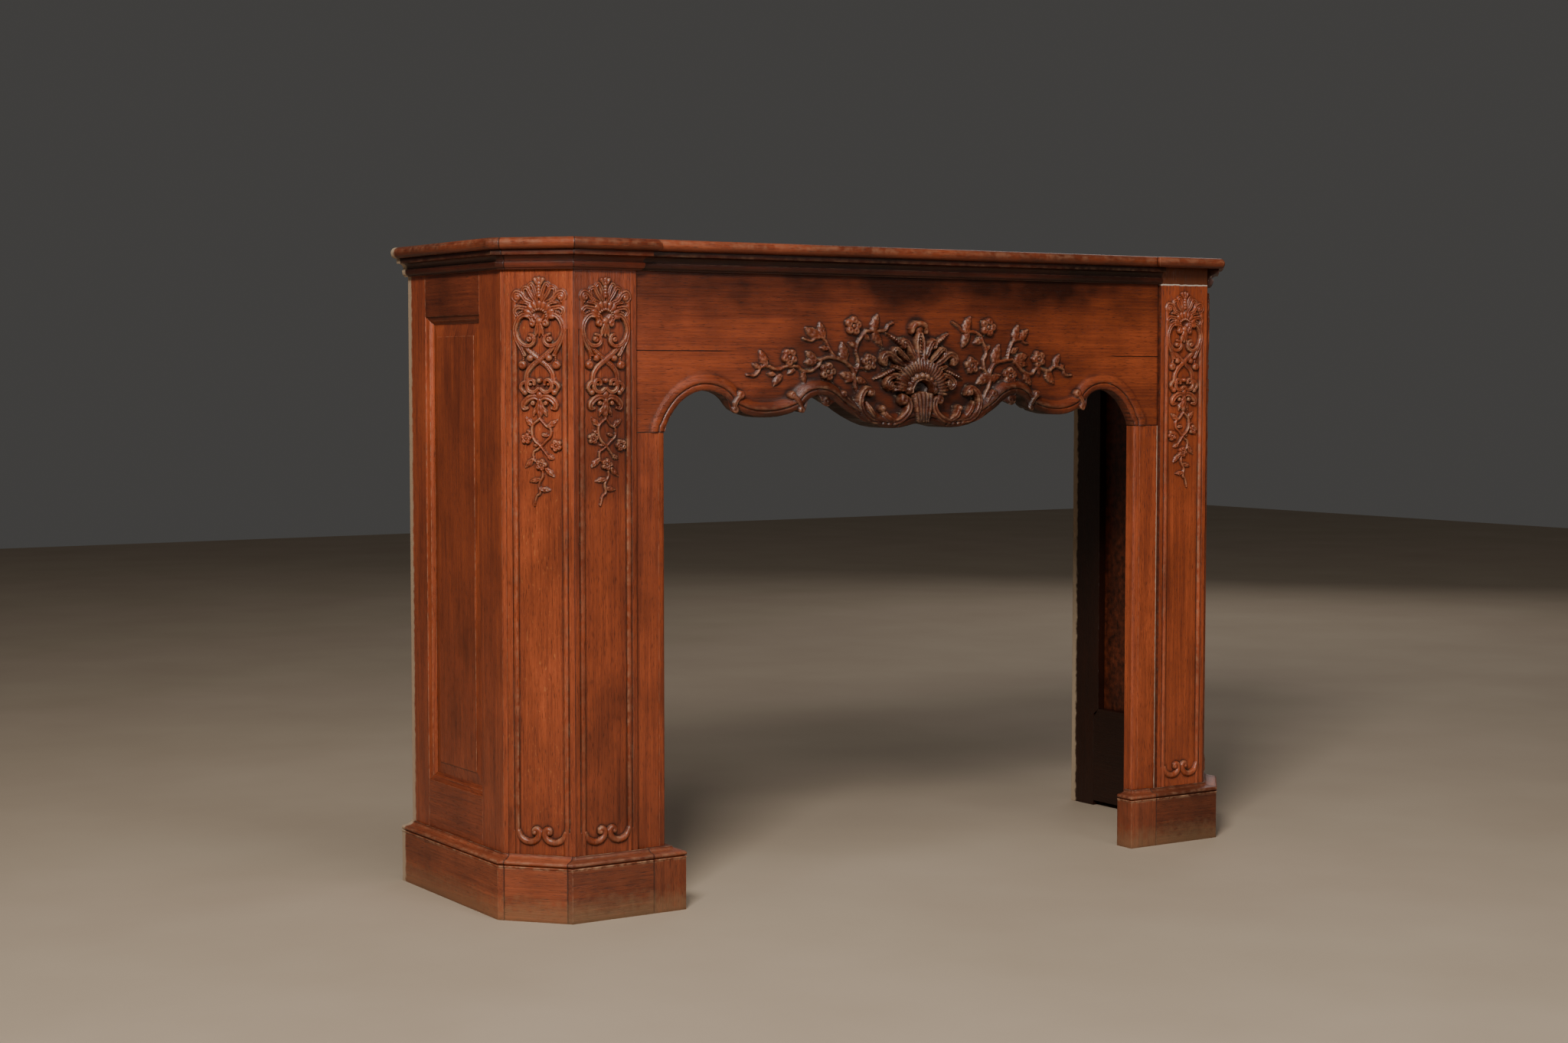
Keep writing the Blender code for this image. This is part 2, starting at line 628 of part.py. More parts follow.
def make_frieze(material):
    """The carved board over the opening."""
    bm = bmesh.new()
    rows = skin(bm, frieze_rings())
    for row in (rows[0], rows[-1]):
        heel = bm.verts.new((row[4].co.x, FRIEZE_Y + BOARD_T, SPRING_Z))
        bm.faces.new((*row[4::-1], row[7], heel))
        bm.faces.new((row[4], heel, row[6], row[5]))
        bm.faces.new((row[6], heel, row[7]))
    board = make_object("frieze", bm, material)

    def place(s, z, h):
        s *= SPREAD
        return (s * MM, FRIEZE_Y - (swell(s, z) + h) * MM, z * MM)

    carving = Carving(place)
    frieze_carving(carving)
    fuse(board, carving.bm, material)
    return board


def make_jambs(material):
    """Uprights beside the opening, with the roll on their inner edge."""
    outer = PILASTER_IN - GAP
    line = OPEN_HALF + EDGE_W
    outline = [(outer, FRIEZE_Y), (line + 0.0012, FRIEZE_Y), (line + 0.0006, FRIEZE_Y + 0.0012),
               (line, FRIEZE_Y + 0.0002), (OPEN_HALF + EDGE_W * 0.35, FRIEZE_Y + 0.0012),
               (OPEN_HALF + EDGE_W * 0.08, FRIEZE_Y + EDGE_DROP * 0.7), (OPEN_HALF, FRIEZE_Y + EDGE_DROP + 0.001),
               (OPEN_HALF, FRIEZE_Y + BOARD_T), (outer, FRIEZE_Y + BOARD_T)]
    for side, label in ((-1, "left"), (1, "right")):
        prism("jamb_" + label, outline, 0, SPRING_Z - GAP, material, side)


# Shelf, nosing and bed moulding

def make_shelf(material):
    """The top board, its edge just behind the nosing strips."""
    out = NOSE_OUT - NOSE_W - GAP
    right = [at_break_in(out), at_break_out(out), SHELF_PLAN.corner(out), SHELF_PLAN.side(out), at_back(out)]
    outline = [(x, y) for x, y in right] + [(-x, y) for x, y in right[::-1]]
    prism("shelf_board", outline, SHELF_Z, HEIGHT, material)


def make_nosing(material):
    """Half-round strips round the shelf, one to each face."""
    profile, plan = nosing_profile(), SHELF_PLAN

    def left_of_break(out):
        return (PILASTER_IN - off(out) - GAP, FRIEZE_Y - off(out))

    def mirrored_break(out):
        x, y = left_of_break(out)
        return (-x, y)

    run("nosing_centre", [mirrored_break, left_of_break], profile, material)
    for side, label in ((-1, "left"), (1, "right")):
        run("nosing_front_" + label, [at_break_in, at_break_out, plan.corner], profile, material, side)
        run("nosing_cant_" + label, [plan.past_corner, plan.cut(END_GRAIN + GAP)], profile, material, side)
        run("nosing_side_" + label, [plan.cut(END_GRAIN), plan.side, at_back], profile, material, side)


def make_cornice(material):
    """Bed moulding under the shelf; the piece over the right front pilaster is lost."""
    profile, plan = cornice_profile(), SHELF_PLAN

    def meets_return(out):
        return (-PILASTER_IN + off(out) + GAP, FRIEZE_Y - off(out))

    def square_end(out):
        return (PILASTER_IN - 2 * GAP, FRIEZE_Y - off(out))

    run("cornice_centre", [meets_return, square_end], profile, material)
    run("cornice_front_left", [at_break_in, at_break_out, plan.corner], profile, material, -1)
    for side, label in ((-1, "left"), (1, "right")):
        run("cornice_cant_" + label, [plan.past_corner, plan.cut(END_GRAIN + GAP)], profile, material, side)
        run("cornice_side_" + label, [plan.cut(END_GRAIN), plan.side, at_back], profile, material, side)


# Plinth

def make_plinth(material):
    """Four boards to each foot, the moulding worked on their top edge."""
    profile, plan = plinth_profile(), PLINTH_PLAN
    front_edge = CORNER_HALF + PLINTH_PAST
    joint = front_edge - PLINTH_FRONT_W
    block_in = joint - PLINTH_INNER_W

    def block_x(out):
        return block_in + PLINTH_OUT - out if out > GAP else OPEN_HALF - GAP

    def block_y(out):
        return FACE_Y - out if out > GAP else FRIEZE_Y - GAP

    block = [lambda out: (joint - GAP, block_y(out)), lambda out: (block_x(out), block_y(out)),
             lambda out: (block_x(out), FACE_Y - PLINTH_OUT + PLINTH_RETURN)]
    front = [lambda out: (joint, FACE_Y - off(out)), plan.corner, lambda out: on_cant(plan.out(out), PLINTH_LAP)]
    for side, label in ((-1, "left"), (1, "right")):
        run("plinth_inner_" + label, block, profile, material, side)
        run("plinth_front_" + label, front, profile, material, side)
        run("plinth_cant_" + label, [lambda out: on_cant(plan.out(out), PLINTH_LAP + GAP),
                                     plan.cut(END_GRAIN + GAP)], profile, material, side)
        run("plinth_side_" + label, [plan.cut(END_GRAIN), plan.side, at_back], profile, material, side)


# Panelled sides

def sticking():
    """Moulding on the inner edge of stiles and rails, as (in from the edge, depth) down to the back."""
    groove = STICK_W - GROOVE_D
    bite = -0.004
    moulded = [(bite, 0), (0, 0), (0.0005, 0.0025), (0.0075, 0.0048), (0.0108, 0.0088), (STICK_W, STICK_D)]
    grooved = [(groove, STICK_D), (groove, STICK_D + TONGUE_T), (STICK_W, STICK_D + TONGUE_T)]
    return moulded + grooved + [(STICK_W, STILE_T), (bite, STILE_T)]


def framed(base, start, end, at, material, side):
    """Adds the moulded edge to a stile or rail: at(along, in, depth) gives a point of the side."""
    bm = bmesh.new()
    rings = []
    for limit, sign in ((start, 1), (end, -1)):
        ring = [at(limit + sign * max(inset, 0), inset, depth) for inset, depth in sticking()]
        rings.append(mirrored(ring, side))
    loft(bm, rings)
    fuse(base, bm, material)


def make_side(side, label, material):
    """Two stiles, two rails and a fielded panel."""
    front_u, back_u = STILE_FRONT_W, DEPTH - CANT_DEPTH - STILE_BACK_W
    start_y = SIDE_CORNER.y
    face, inner = BODY_HALF, BODY_HALF - STILE_T
    top = SHELF_Z - GAP
    lap = on_cant(0, CANT_LENGTH - STILE_LAP)
    reach = (lap.x - inner) / CANT_OUTWARD.x
    heel = lap - CANT_OUTWARD * reach
    outline = [tuple(SIDE_CORNER), tuple(lap), tuple(heel), (inner, start_y + front_u), (face, start_y + front_u)]
    stile = prism("side_stile_front_" + label, outline, 0, top, material, side)
    framed(stile, RAIL_BOTTOM_Z, RAIL_TOP_Z,
           lambda z, inset, depth: (face - depth, start_y + front_u + inset, z), material, side)
    outline = [(face, start_y + back_u), (inner, start_y + back_u), (inner, BACK_Y), (face, BACK_Y)]
    stile = prism("side_stile_back_" + label, outline, 0, top, material, side)
    framed(stile, RAIL_BOTTOM_Z, RAIL_TOP_Z,
           lambda z, inset, depth: (face - depth, start_y + back_u - inset, z), material, side)
    low, high = start_y + front_u + GAP, start_y + back_u - GAP
    outline = [(face, low), (inner, low), (inner, high), (face, high)]
    rail = prism("side_rail_top_" + label, outline, RAIL_TOP_Z, top, material, side)
    framed(rail, low, high, lambda y, inset, depth: (face - depth, y, RAIL_TOP_Z - inset), material, side)
    rail = prism("side_rail_bottom_" + label, outline, RAIL_CLEAR, RAIL_BOTTOM_Z, material, side)
    framed(rail, low, high, lambda y, inset, depth: (face - depth, y, RAIL_BOTTOM_Z + inset), material, side)
    groove = STICK_W - GROOVE_D + GAP
    slope_foot = STICK_D + GAP
    bm = bmesh.new()
    rings = []
    for inset, depth in ((groove, STICK_D + TONGUE_T - GAP), (groove, slope_foot), (STICK_W, slope_foot),
                         (FIELD_IN, FIELD_D + 0.0015), (FIELD_IN + GAP, FIELD_D)):
        y0, y1 = start_y + front_u + inset, start_y + back_u - inset
        z0, z1 = RAIL_BOTTOM_Z + inset, RAIL_TOP_Z - inset
        rings.append(mirrored([(face - depth, y, z) for y, z in ((y0, z0), (y1, z0), (y1, z1), (y0, z1))], side))
    loft(bm, rings)
    make_object("side_panel_" + label, bm, material)


def main():
    """Clears the scene and builds every piece."""
    for thing in list(bpy.data.objects):
        bpy.data.objects.remove(thing, do_unlink=True)
    face_oak = finish("oak_stained", (0.28, 0.085, 0.035), 0.45)
    carved_oak = finish("oak_carved", (0.24, 0.075, 0.032), 0.42)
    dark_oak = finish("oak_dark_moulding", (0.10, 0.03, 0.018), 0.45)
    plinth_oak = finish("oak_plinth", (0.20, 0.07, 0.035), 0.6)
    make_shelf(face_oak)
    make_nosing(face_oak)
    make_cornice(dark_oak)
    make_frieze(carved_oak)
    make_jambs(face_oak)
    make_pilasters(carved_oak)
    for side, label in ((-1, "left"), (1, "right")):
        make_side(side, label, face_oak)
    make_plinth(plinth_oak)


main()
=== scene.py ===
# %% [markdown]
# # A carved oak fireplace mantel
# The mantel is joined from boards: a moulded shelf, a scalloped frieze over the opening, carved pilasters
# on the front and on the cut corners, panelled sides and a plinth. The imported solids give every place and
# size. Each board is worked again here with the detail of the real one, and stands where its solid
# stands.

# %% Load the frame
import json
import math
import random

import bmesh
import bpy
import numpy as np
from mathutils import Matrix, Vector

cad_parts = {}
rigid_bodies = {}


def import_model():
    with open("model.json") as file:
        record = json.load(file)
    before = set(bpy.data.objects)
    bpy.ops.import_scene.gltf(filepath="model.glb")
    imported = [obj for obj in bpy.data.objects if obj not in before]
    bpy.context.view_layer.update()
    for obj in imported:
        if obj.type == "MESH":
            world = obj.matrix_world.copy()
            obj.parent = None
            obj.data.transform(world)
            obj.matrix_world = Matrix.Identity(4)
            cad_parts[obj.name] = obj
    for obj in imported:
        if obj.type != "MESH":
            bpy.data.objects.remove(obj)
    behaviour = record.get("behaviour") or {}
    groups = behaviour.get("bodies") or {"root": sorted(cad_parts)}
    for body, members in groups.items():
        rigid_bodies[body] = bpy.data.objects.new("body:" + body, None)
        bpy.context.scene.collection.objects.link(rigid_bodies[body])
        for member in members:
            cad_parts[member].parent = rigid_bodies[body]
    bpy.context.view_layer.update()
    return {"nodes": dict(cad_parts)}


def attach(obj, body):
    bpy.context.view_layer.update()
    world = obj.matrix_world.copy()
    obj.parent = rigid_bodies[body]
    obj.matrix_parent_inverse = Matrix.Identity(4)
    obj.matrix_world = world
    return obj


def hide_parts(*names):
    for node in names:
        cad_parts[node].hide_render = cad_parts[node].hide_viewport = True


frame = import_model()

# %% [markdown]
# ## Camera, floor and light
# The camera stands where the photographer stood: to the left of the front, a little below the shelf, four
# metres off. The main lamp beside it lights the cut corner most, a weaker one in front fills the shadows,
# one far behind on the right keeps the back readable, and one above draws a line of light along the
# shelf's edge.

# %% Camera
view = bpy.data.cameras.new("photographer")
view.lens = 56.29
view.sensor_width = 36.0
view_object = bpy.data.objects.new("photographer", view)
view_object.location = (-2.5120, -3.6872, 0.8786)
view_object.rotation_euler = (math.radians(86.618), 0.0, math.radians(-32.741))
bpy.context.scene.collection.objects.link(view_object)
bpy.context.scene.camera = view_object
print("camera", [round(c, 3) for c in view_object.location])

# %% Colours and nodes
MM = 0.001
RGBA = {"data_type": 'RGBA', "out": 2}


def linear(code):
    """Turns an sRGB hex colour into the linear values that shaders work in."""
    channels = [int(code[i:i + 2], 16) / 255 for i in (1, 3, 5)]
    return [c / 12.92 if c <= 0.04045 else ((c + 0.055) / 1.055) ** 2.4 for c in channels] + [1.0]


def add(tree, kind, inputs=None, out=0, **settings):
    """Adds a node with its settings, sets or links its inputs, and gives back one of its outputs."""
    node = tree.nodes.new("ShaderNode" + kind)
    for key, value in settings.items():
        setattr(node, key, value)
    for key, value in (inputs or {}).items():
        if isinstance(value, bpy.types.NodeSocket):
            tree.links.new(value, node.inputs[key])
        else:
            node.inputs[key].default_value = value
    return node.outputs[out]


print("linear mid grey", [round(c, 3) for c in linear("#808080")])

# %% Floor and lamps
floor_bm = bmesh.new()
bmesh.ops.create_grid(floor_bm, x_segments=1, y_segments=1, size=9.0)
floor_mesh = bpy.data.meshes.new("floor")
floor_bm.to_mesh(floor_mesh)
floor_bm.free()
floor = bpy.data.objects.new("floor", floor_mesh)
bpy.context.scene.collection.objects.link(floor)

# Pale matt concrete: faint clouds, no gloss.
concrete = bpy.data.materials.new("pale_concrete")
concrete.use_nodes = True
tree = concrete.node_tree
ground = add(tree, "TexCoord", out="Object")
clouds = add(tree, "TexNoise", {"Vector": ground, "Scale": 2.5, "Detail": 5.0}, out="Fac")
tint = add(tree, "Mix", {0: clouds, 6: linear("#a3917c"), 7: linear("#b5a48f")}, **RGBA)
tree.links.new(tint, tree.nodes["Principled BSDF"].inputs["Base Color"])
tree.nodes["Principled BSDF"].inputs["Roughness"].default_value = 0.9
floor_mesh.materials.append(concrete)


def lamp(name, place, aim, size, power, warmth):
    """A square soft lamp at a place, turned to what it lights."""
    data = bpy.data.lights.new(name, 'AREA')
    data.size = size
    data.energy = power
    data.color = warmth
    thing = bpy.data.objects.new(name, data)
    thing.location = place
    thing.rotation_euler = (Vector(aim) - Vector(place)).to_track_quat('-Z', 'Y').to_euler()
    bpy.context.scene.collection.objects.link(thing)


lamp("main_lamp", (-2.9, -3.0, 3.3), (-0.3, 0, 0.7), 1.1, 215, (1.0, 0.96, 0.91))
lamp("fill_lamp", (0.1, -4.3, 1.9), (0.3, 0, 0.6), 1.3, 24, (1.0, 0.96, 0.92))
lamp("back_lamp", (4.2, 3.4, 2.6), (0.2, 0, 0.6), 2.4, 30, (1.0, 0.98, 0.96))
lamp("top_lamp", (-0.6, -1.2, 3.3), (0, 0, 1.0), 1.2, 24, (1.0, 0.97, 0.94))
room = bpy.data.worlds.new("studio")
room.use_nodes = True
room.node_tree.nodes["Background"].inputs["Color"].default_value = linear("#c9c6c2")
room.node_tree.nodes["Background"].inputs["Strength"].default_value = 0.10
bpy.context.scene.world = room

# %% [markdown]
# ## Stained oak
# The boards are riven and sawn oak, planed by hand, stained red-brown and waxed. Oak shows itself by
# streaks along the grain, open pores like short dark scratches, and broad clouds where the stain took
# unevenly. In the hollows of the carving dirt and wax have gone nearly black, and painted shade darkens
# them further; on crests and arrises hands and cloths have rubbed the stain off to a greyish tan, which is
# also painted on as highlight. A painted picture of wood would stretch over the carving, so the grain is
# made from noise in the object's own space instead, drawn out along the board's length. Each mesh carries
# four
# numbers on its points: "board" shifts the pattern so that no two boards are cut from one plank, "tone"
# makes a whole board lighter or darker and on the frieze carries painted shade point by point, and "crest"
# and "hollow" say where the wear and painted highlight and the dirt and painted shade are.

# %% One kind of wood in several directions
UPRIGHT = (0.0, math.pi / 2, 0.0)
ALONG_FRONT = (0.0, 0.0, 0.0)
ALONG_SIDE = (0.0, 0.0, -math.pi / 2)
DARKEST_TONE = 0.12
DULLER = 0.2


def oak(name, turn, light, dark, rough, marks=(), flecks=0.0, wear_and_highlight_strength=0.55, dirt_and_shade_strength=0.9, plaster=0.3):
    """Waxed, stained oak with its grain turned along the board; marks are stains, some of them painted
    shade, at given places.
    """
    material = bpy.data.materials.new(name)
    material.use_nodes = True
    tree = material.node_tree
    shader = tree.nodes["Principled BSDF"]
    place = add(tree, "TexCoord", out="Object")
    board, tone, crest, hollow = (add(tree, "Attribute", out="Fac", attribute_name=key)
                                  for key in ("board", "tone", "crest", "hollow"))
    turned = add(tree, "Mapping", {"Vector": place, "Rotation": turn})
    plank = add(tree, "VectorMath", {0: board, 1: (3.7, 1.9, 5.3), 2: turned},
                operation='MULTIPLY_ADD')

    # Each figure is noise drawn out along the grain: so many mm long by so many wide.
    figure = {"hollow": hollow}
    for key, length, width, detail, twist in (("streak", 150, 3.4, 5.0, 0.3), ("band", 420, 26, 3.0, 0.8),
                                              ("pore", 15, 1.0, 1.0, 0.0), ("fleck", 9, 3.2, 2.0, 0.4),
                                              ("cloud", 150, 110, 3.0, 0.0), ("grime", 14, 11, 4.0, 0.0)):
        scale = (1 / (length * MM), 1 / (width * MM), 1 / (width * MM))
        drawn = add(tree, "Mapping", {"Vector": plank, "Scale": scale})
        figure[key] = add(tree, "TexNoise", {"Vector": drawn, "Scale": 1.0, "Detail": detail,
                                             "Roughness": 0.62, "Distortion": twist}, out="Fac")

    # Of each figure the part between two levels counts, spread from a least to a most.
    part = {}
    for key, source, low, high, least, most in (
            ("grain", "streak", 0.29, 0.73, 0.0, 1.0), ("bands", "band", 0.3, 0.7, 0.12, 0.9),
            ("pores", "pore", 0.59, 0.69, 0.0, 0.6), ("rays", "fleck", 0.64, 0.70, 0.0, flecks),
            ("clouds", "cloud", 0.3, 0.7, 0.66, 1.20), ("grime", "grime", 0.3, 0.7, 0.55, 1.1),
            ("crumbs", "grime", 0.58, 0.62, 0.0, plaster), ("deep", "hollow", 0.96, 1.0, 0.0, 1.0),
            ("patchy", "grime", 0.42, 0.64, 0.0, 1.0)):
        part[key] = add(tree, "MapRange", {"Value": figure[source], "From Min": low, "From Max": high,
                                           "To Min": least, "To Max": most})

    # Streaks over bands, then pores and rays, then clouds and the board's own tone.
    figured = add(tree, "Math", {0: part["grain"], 1: part["bands"]}, operation='ADD')
    share = add(tree, "Math", {0: figured, 1: 0.5}, operation='MULTIPLY')
    colour = add(tree, "Mix", {0: share, 6: linear(dark), 7: linear(light)}, **RGBA)
    for cover, stain in ((part["pores"], "#2a1009"), (part["rays"], "#b57443")):
        colour = add(tree, "Mix", {0: cover, 6: colour, 7: linear(stain)}, **RGBA)
    toned = add(tree, "Math", {0: part["clouds"], 1: tone}, operation='ADD')
    toned = add(tree, "Math", {0: toned, 1: DARKEST_TONE}, operation='MAXIMUM')
    colour = add(tree, "Mix", {0: 1.0, 6: colour, 7: toned}, blend_type='MULTIPLY', **RGBA)

    # Dirt and painted shade in the hollows, crumbs of plaster in the deepest, and crests rubbed down to
    # pale wood and painted as highlights.
    dirt_and_shade = add(tree, "Math", {0: hollow, 1: part["grime"]}, operation='MULTIPLY')
    dirt_and_shade = add(tree, "Math", {0: dirt_and_shade, 1: dirt_and_shade_strength}, operation='MULTIPLY', use_clamp=True)
    crumbs = add(tree, "Math", {0: part["deep"], 1: part["crumbs"]}, operation='MULTIPLY', use_clamp=True)
    wear_and_highlight = add(tree, "Math", {0: crest, 1: part["patchy"]}, operation='MULTIPLY')
    wear_and_highlight = add(tree, "Math", {0: wear_and_highlight, 1: wear_and_highlight_strength}, operation='MULTIPLY', use_clamp=True)
    for cover, stain in ((dirt_and_shade, "#1c0a05"), (crumbs, "#a08872"), (wear_and_highlight, "#a98466")):
        colour = add(tree, "Mix", {0: cover, 6: colour, 7: linear(stain)}, **RGBA)

    # Marks: each is a colour and the borders it lies between, along x, y or z, a little ragged.
    axes = add(tree, "SeparateXYZ", {0: place})
    middle = add(tree, "TexNoise", {"Vector": place, "Scale": 90.0, "Detail": 4.0}, out="Fac")
    for stain, strength, ragged, borders in marks:
        cover = strength
        for axis, start, full in borders:
            wobble = add(tree, "Math", {0: middle, 1: ragged * MM, 2: -ragged * MM / 2},
                         operation='MULTIPLY_ADD')
            moved = add(tree, "Math", {0: axes.node.outputs[axis], 1: wobble}, operation='ADD')
            within = add(tree, "MapRange", {"Value": moved, "From Min": start, "From Max": full})
            cover = add(tree, "Math", {0: within, 1: cover}, operation='MULTIPLY')
        colour = add(tree, "Mix", {0: cover, 6: colour, 7: linear(stain)}, **RGBA)
    tree.links.new(colour, shader.inputs["Base Color"])

    # Wax lies smooth on the faces; dirt and painted shade, and bare wood and painted highlight, are duller.
    dull = add(tree, "Math", {0: dirt_and_shade, 1: wear_and_highlight}, operation='MAXIMUM')
    sheen = add(tree, "MapRange", {"Value": dull, "To Min": rough, "To Max": rough + DULLER})
    tree.links.new(sheen, shader.inputs["Roughness"])
    shader.inputs["IOR"].default_value = 1.48
    shader.inputs["Specular IOR Level"].default_value = 0.5
    relief = add(tree, "Math", {0: part["grain"], 1: part["pores"]}, operation='SUBTRACT')
    worked = add(tree, "Math", {0: figure["grime"], 1: relief}, operation='ADD')
    bump = add(tree, "Bump", {"Height": worked, "Strength": 0.5, "Distance": 0.0005})
    tree.links.new(bump, shader.inputs["Normal"])
    return material


print("oak is ready to be turned along any board")

# %% [markdown]
# ## Sizes and plan
# The numbers are those of the solids. The plan functions say where a line that stands a distance out from
# the body lies: beside the break between frieze and pilaster, round the cut corner and along the side.
# Every moulding is mitred at the same places, so they are worked out once.

# %% Sizes of the mantel, in metres
GAP = 0.0003
HEIGHT, SHELF_T, CORNICE_H = 1.100, 0.019, 0.031
BODY_HALF, CORNER_HALF, CANT_DEPTH, DEPTH = 0.7582, 0.6749, 0.0928, 0.4518
NOSE_OUT, NOSE_W, END_GRAIN = 0.032, 0.026, 0.010
PILASTER_W, PILASTER_T, STEP_BACK, BOARD_T = 0.1149, 0.030, 0.007, 0.023
OPEN_HALF, SPRING_Z, FRIEZE_SLACK, SUNK = 0.5035, 0.7872, 0.0012, 0.0025
STILE_LAP = 0.008
PLINTH_H, PLINTH_CAP, PLINTH_OUT, PLINTH_CANT_SHARE = 0.1053, 0.0188, 0.020, 1.3
PLINTH_FRONT_W, PLINTH_INNER_W, PLINTH_RETURN, PLINTH_LAP = 0.1514, 0.061, 0.0412, 0.005

FACE_Y = NOSE_OUT - (DEPTH + NOSE_OUT) / 2
BACK_Y = FACE_Y + DEPTH
FRIEZE_Y = FACE_Y + STEP_BACK
SHELF_Z = HEIGHT - SHELF_T
CORNICE_Z = SHELF_Z - CORNICE_H
PILASTER_IN = CORNER_HALF - PILASTER_W
CORNER = Vector((CORNER_HALF, FACE_Y))
SIDE_CORNER = Vector((BODY_HALF, FACE_Y + CANT_DEPTH))
CANT_LENGTH = (SIDE_CORNER - CORNER).length
CANT_DIR = (SIDE_CORNER - CORNER).normalized()
CANT_OUTWARD = Vector((CANT_DIR.y, -CANT_DIR.x))
CANT_ANGLE = math.atan2(CANT_DIR.y, CANT_DIR.x)
ALONG_CANT = {1: (0.0, 0.0, -CANT_ANGLE), -1: (0.0, 0.0, CANT_ANGLE)}
print("cut corner", round(CANT_LENGTH * 1000, 1), "mm wide at", round(math.degrees(CANT_ANGLE), 1),
      "degrees")


# %% Plan of the right half
def off(out):
    """How far a moulding's point stands off the body; its back keeps a hair's clearance."""
    return max(out, GAP)


def on_cant(out, along):
    """A point out from the cut corner's face, a distance along it from the front."""
    return CORNER + CANT_DIR * along + CANT_OUTWARD * out


def at_break_in(out):
    """Inner mitre of the return beside the pilaster."""
    return (PILASTER_IN - off(out), FRIEZE_Y - off(out))


def at_break_out(out):
    """Outer mitre of that return."""
    return (PILASTER_IN - off(out), FACE_Y - off(out))


def at_back(out):
    """Square end at the back."""
    return (BODY_HALF + off(out), BACK_Y)


class CornerPlan:
    """Mitres round the cut corner, where a moulding may stand out by a share more."""

    def __init__(self, share):
        self.share = share

    def out(self, out):
        return GAP + (off(out) - GAP) * self.share

    def corner(self, out, past=0.0):
        along = (-off(out) - CANT_OUTWARD.y * self.out(out)) / CANT_DIR.y
        return on_cant(self.out(out), along + past)

    def past_corner(self, out):
        return self.corner(out, GAP)

    def side(self, out):
        along = CANT_LENGTH + (off(out) - CANT_OUTWARD.x * self.out(out)) / CANT_DIR.x
        return on_cant(self.out(out), along)

    def cut(self, short):
        return lambda out: on_cant(self.out(out), CANT_LENGTH - short)


SHELF_PLAN = CornerPlan(1.0)
PLINTH_PLAN = CornerPlan(PLINTH_CANT_SHARE)
print("shelf corner at", [round(c, 4) for c in SHELF_PLAN.corner(NOSE_OUT)])

# %% [markdown]
# ## Finishing a piece
# Every worked piece is handed over in the same way: its mesh gets the board's own numbers for the wood, the
# solid behind it is hidden, and it rides on the mantel's one body. Sharp arrises don't exist on an old
# mantel, so a narrow bevel rounds them, and the middle row of the bevel is marked as worn and painted as a
# highlight.

# %% Helpers for every piece
rng = random.Random(1750)
TONE_SPREAD = 0.05
SIDES = ((-1, "left"), (1, "right"))


def soften(bm, width, angle=40):
    """Rounds the outer arrises by a narrow bevel and marks the middle of it as worn and as painted
    highlight.
    """
    crest = bm.verts.layers.float.new("crest")
    sharp = [e for e in bm.edges if e.is_manifold and e.calc_face_angle_signed(0) > math.radians(angle)]
    made = bmesh.ops.bevel(bm, geom=sharp, offset=width, offset_type='OFFSET', affect='EDGES', segments=2,
                           profile=0.5, material=-1, clamp_overlap=True)
    new = set(made["faces"])
    for vert in bm.verts:
        vert[crest] = 1.0 if all(face in new for face in vert.link_faces) else 0.0


def hand_over(node, bm, material, tone=0.0, smooth=None):
    """Makes the finished object with its material, hides its solid and sets it on the body."""
    open_edges = sum(not e.is_manifold for e in bm.edges)
    mesh = bpy.data.meshes.new("worked_" + node)
    bm.to_mesh(mesh)
    bm.free()
    mesh.materials.append(material)
    count = len(mesh.vertices)
    for key, value in (("board", rng.random()), ("tone", tone + rng.uniform(-TONE_SPREAD, TONE_SPREAD))):
        layer = mesh.attributes.get(key) or mesh.attributes.new(key, 'FLOAT', 'POINT')
        values = np.empty(count, dtype=np.float32)
        layer.data.foreach_get("value", values)
        layer.data.foreach_set("value", values + value)
    if smooth:
        mesh.polygons.foreach_set("use_smooth", [True] * len(mesh.polygons))
        mesh.set_sharp_from_angle(angle=math.radians(smooth))
    piece = bpy.data.objects.new("worked_" + node, mesh)
    bpy.context.scene.collection.objects.link(piece)
    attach(piece, "root")
    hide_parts(node)
    print(f"{piece.name}: {len(mesh.polygons)} faces, {open_edges} open edges")
    return piece


# %% [markdown]
# ## Mouldings
# Nosing, bed moulding and plinth are lengths of one profile, planed along the board and mitred. The
# profile is drawn once as a face at its first end and extruded from mitre to mitre: the same stroke the
# plane makes. A curve with a bevel object would twist at the tight returns beside the pilasters.

# %% Carry a profile round the plan
JOINT_DIRT = 2 * MM


def carry(stations, profile, side):
    """Draws the profile at the first station and extrudes it to the others; both ends are marked dirty."""
    bm = bmesh.new()
    number = bm.verts.layers.int.new("profile_point")
    hollow = bm.verts.layers.float.new("hollow")

    def spot(station, k):
        x, y = station(profile[k][0])
        return (side * x, y, profile[k][1])

    corners = [bm.verts.new(spot(stations[0], k)) for k in range(len(profile))]
    for k, vert in enumerate(corners):
        vert[number] = k
        vert[hollow] = 1.0
    start = end = bm.faces.new(corners)
    for station in stations[1:]:
        grown = bmesh.ops.extrude_face_region(bm, geom=[end])["geom"]
        if end is not start:
            bm.faces.remove(end)
        end = next(g for g in grown if isinstance(g, bmesh.types.BMFace))
        for vert in end.verts:
            vert.co = spot(station, vert[number])
            vert[hollow] = 1.0 if station is stations[-1] else 0.0
    bmesh.ops.recalc_face_normals(bm, faces=bm.faces)
    bm.verts.layers.int.remove(number)
    return bm


def inset(station, toward):
    """A station a little way in from an end, on the way to the next, where the dirt of the joint stops."""
    def spot(out):
        here, there = Vector(station(out)), Vector(toward(out))
        return here + (there - here).normalized() * min(JOINT_DIRT, (there - here).length / 3)
    return spot


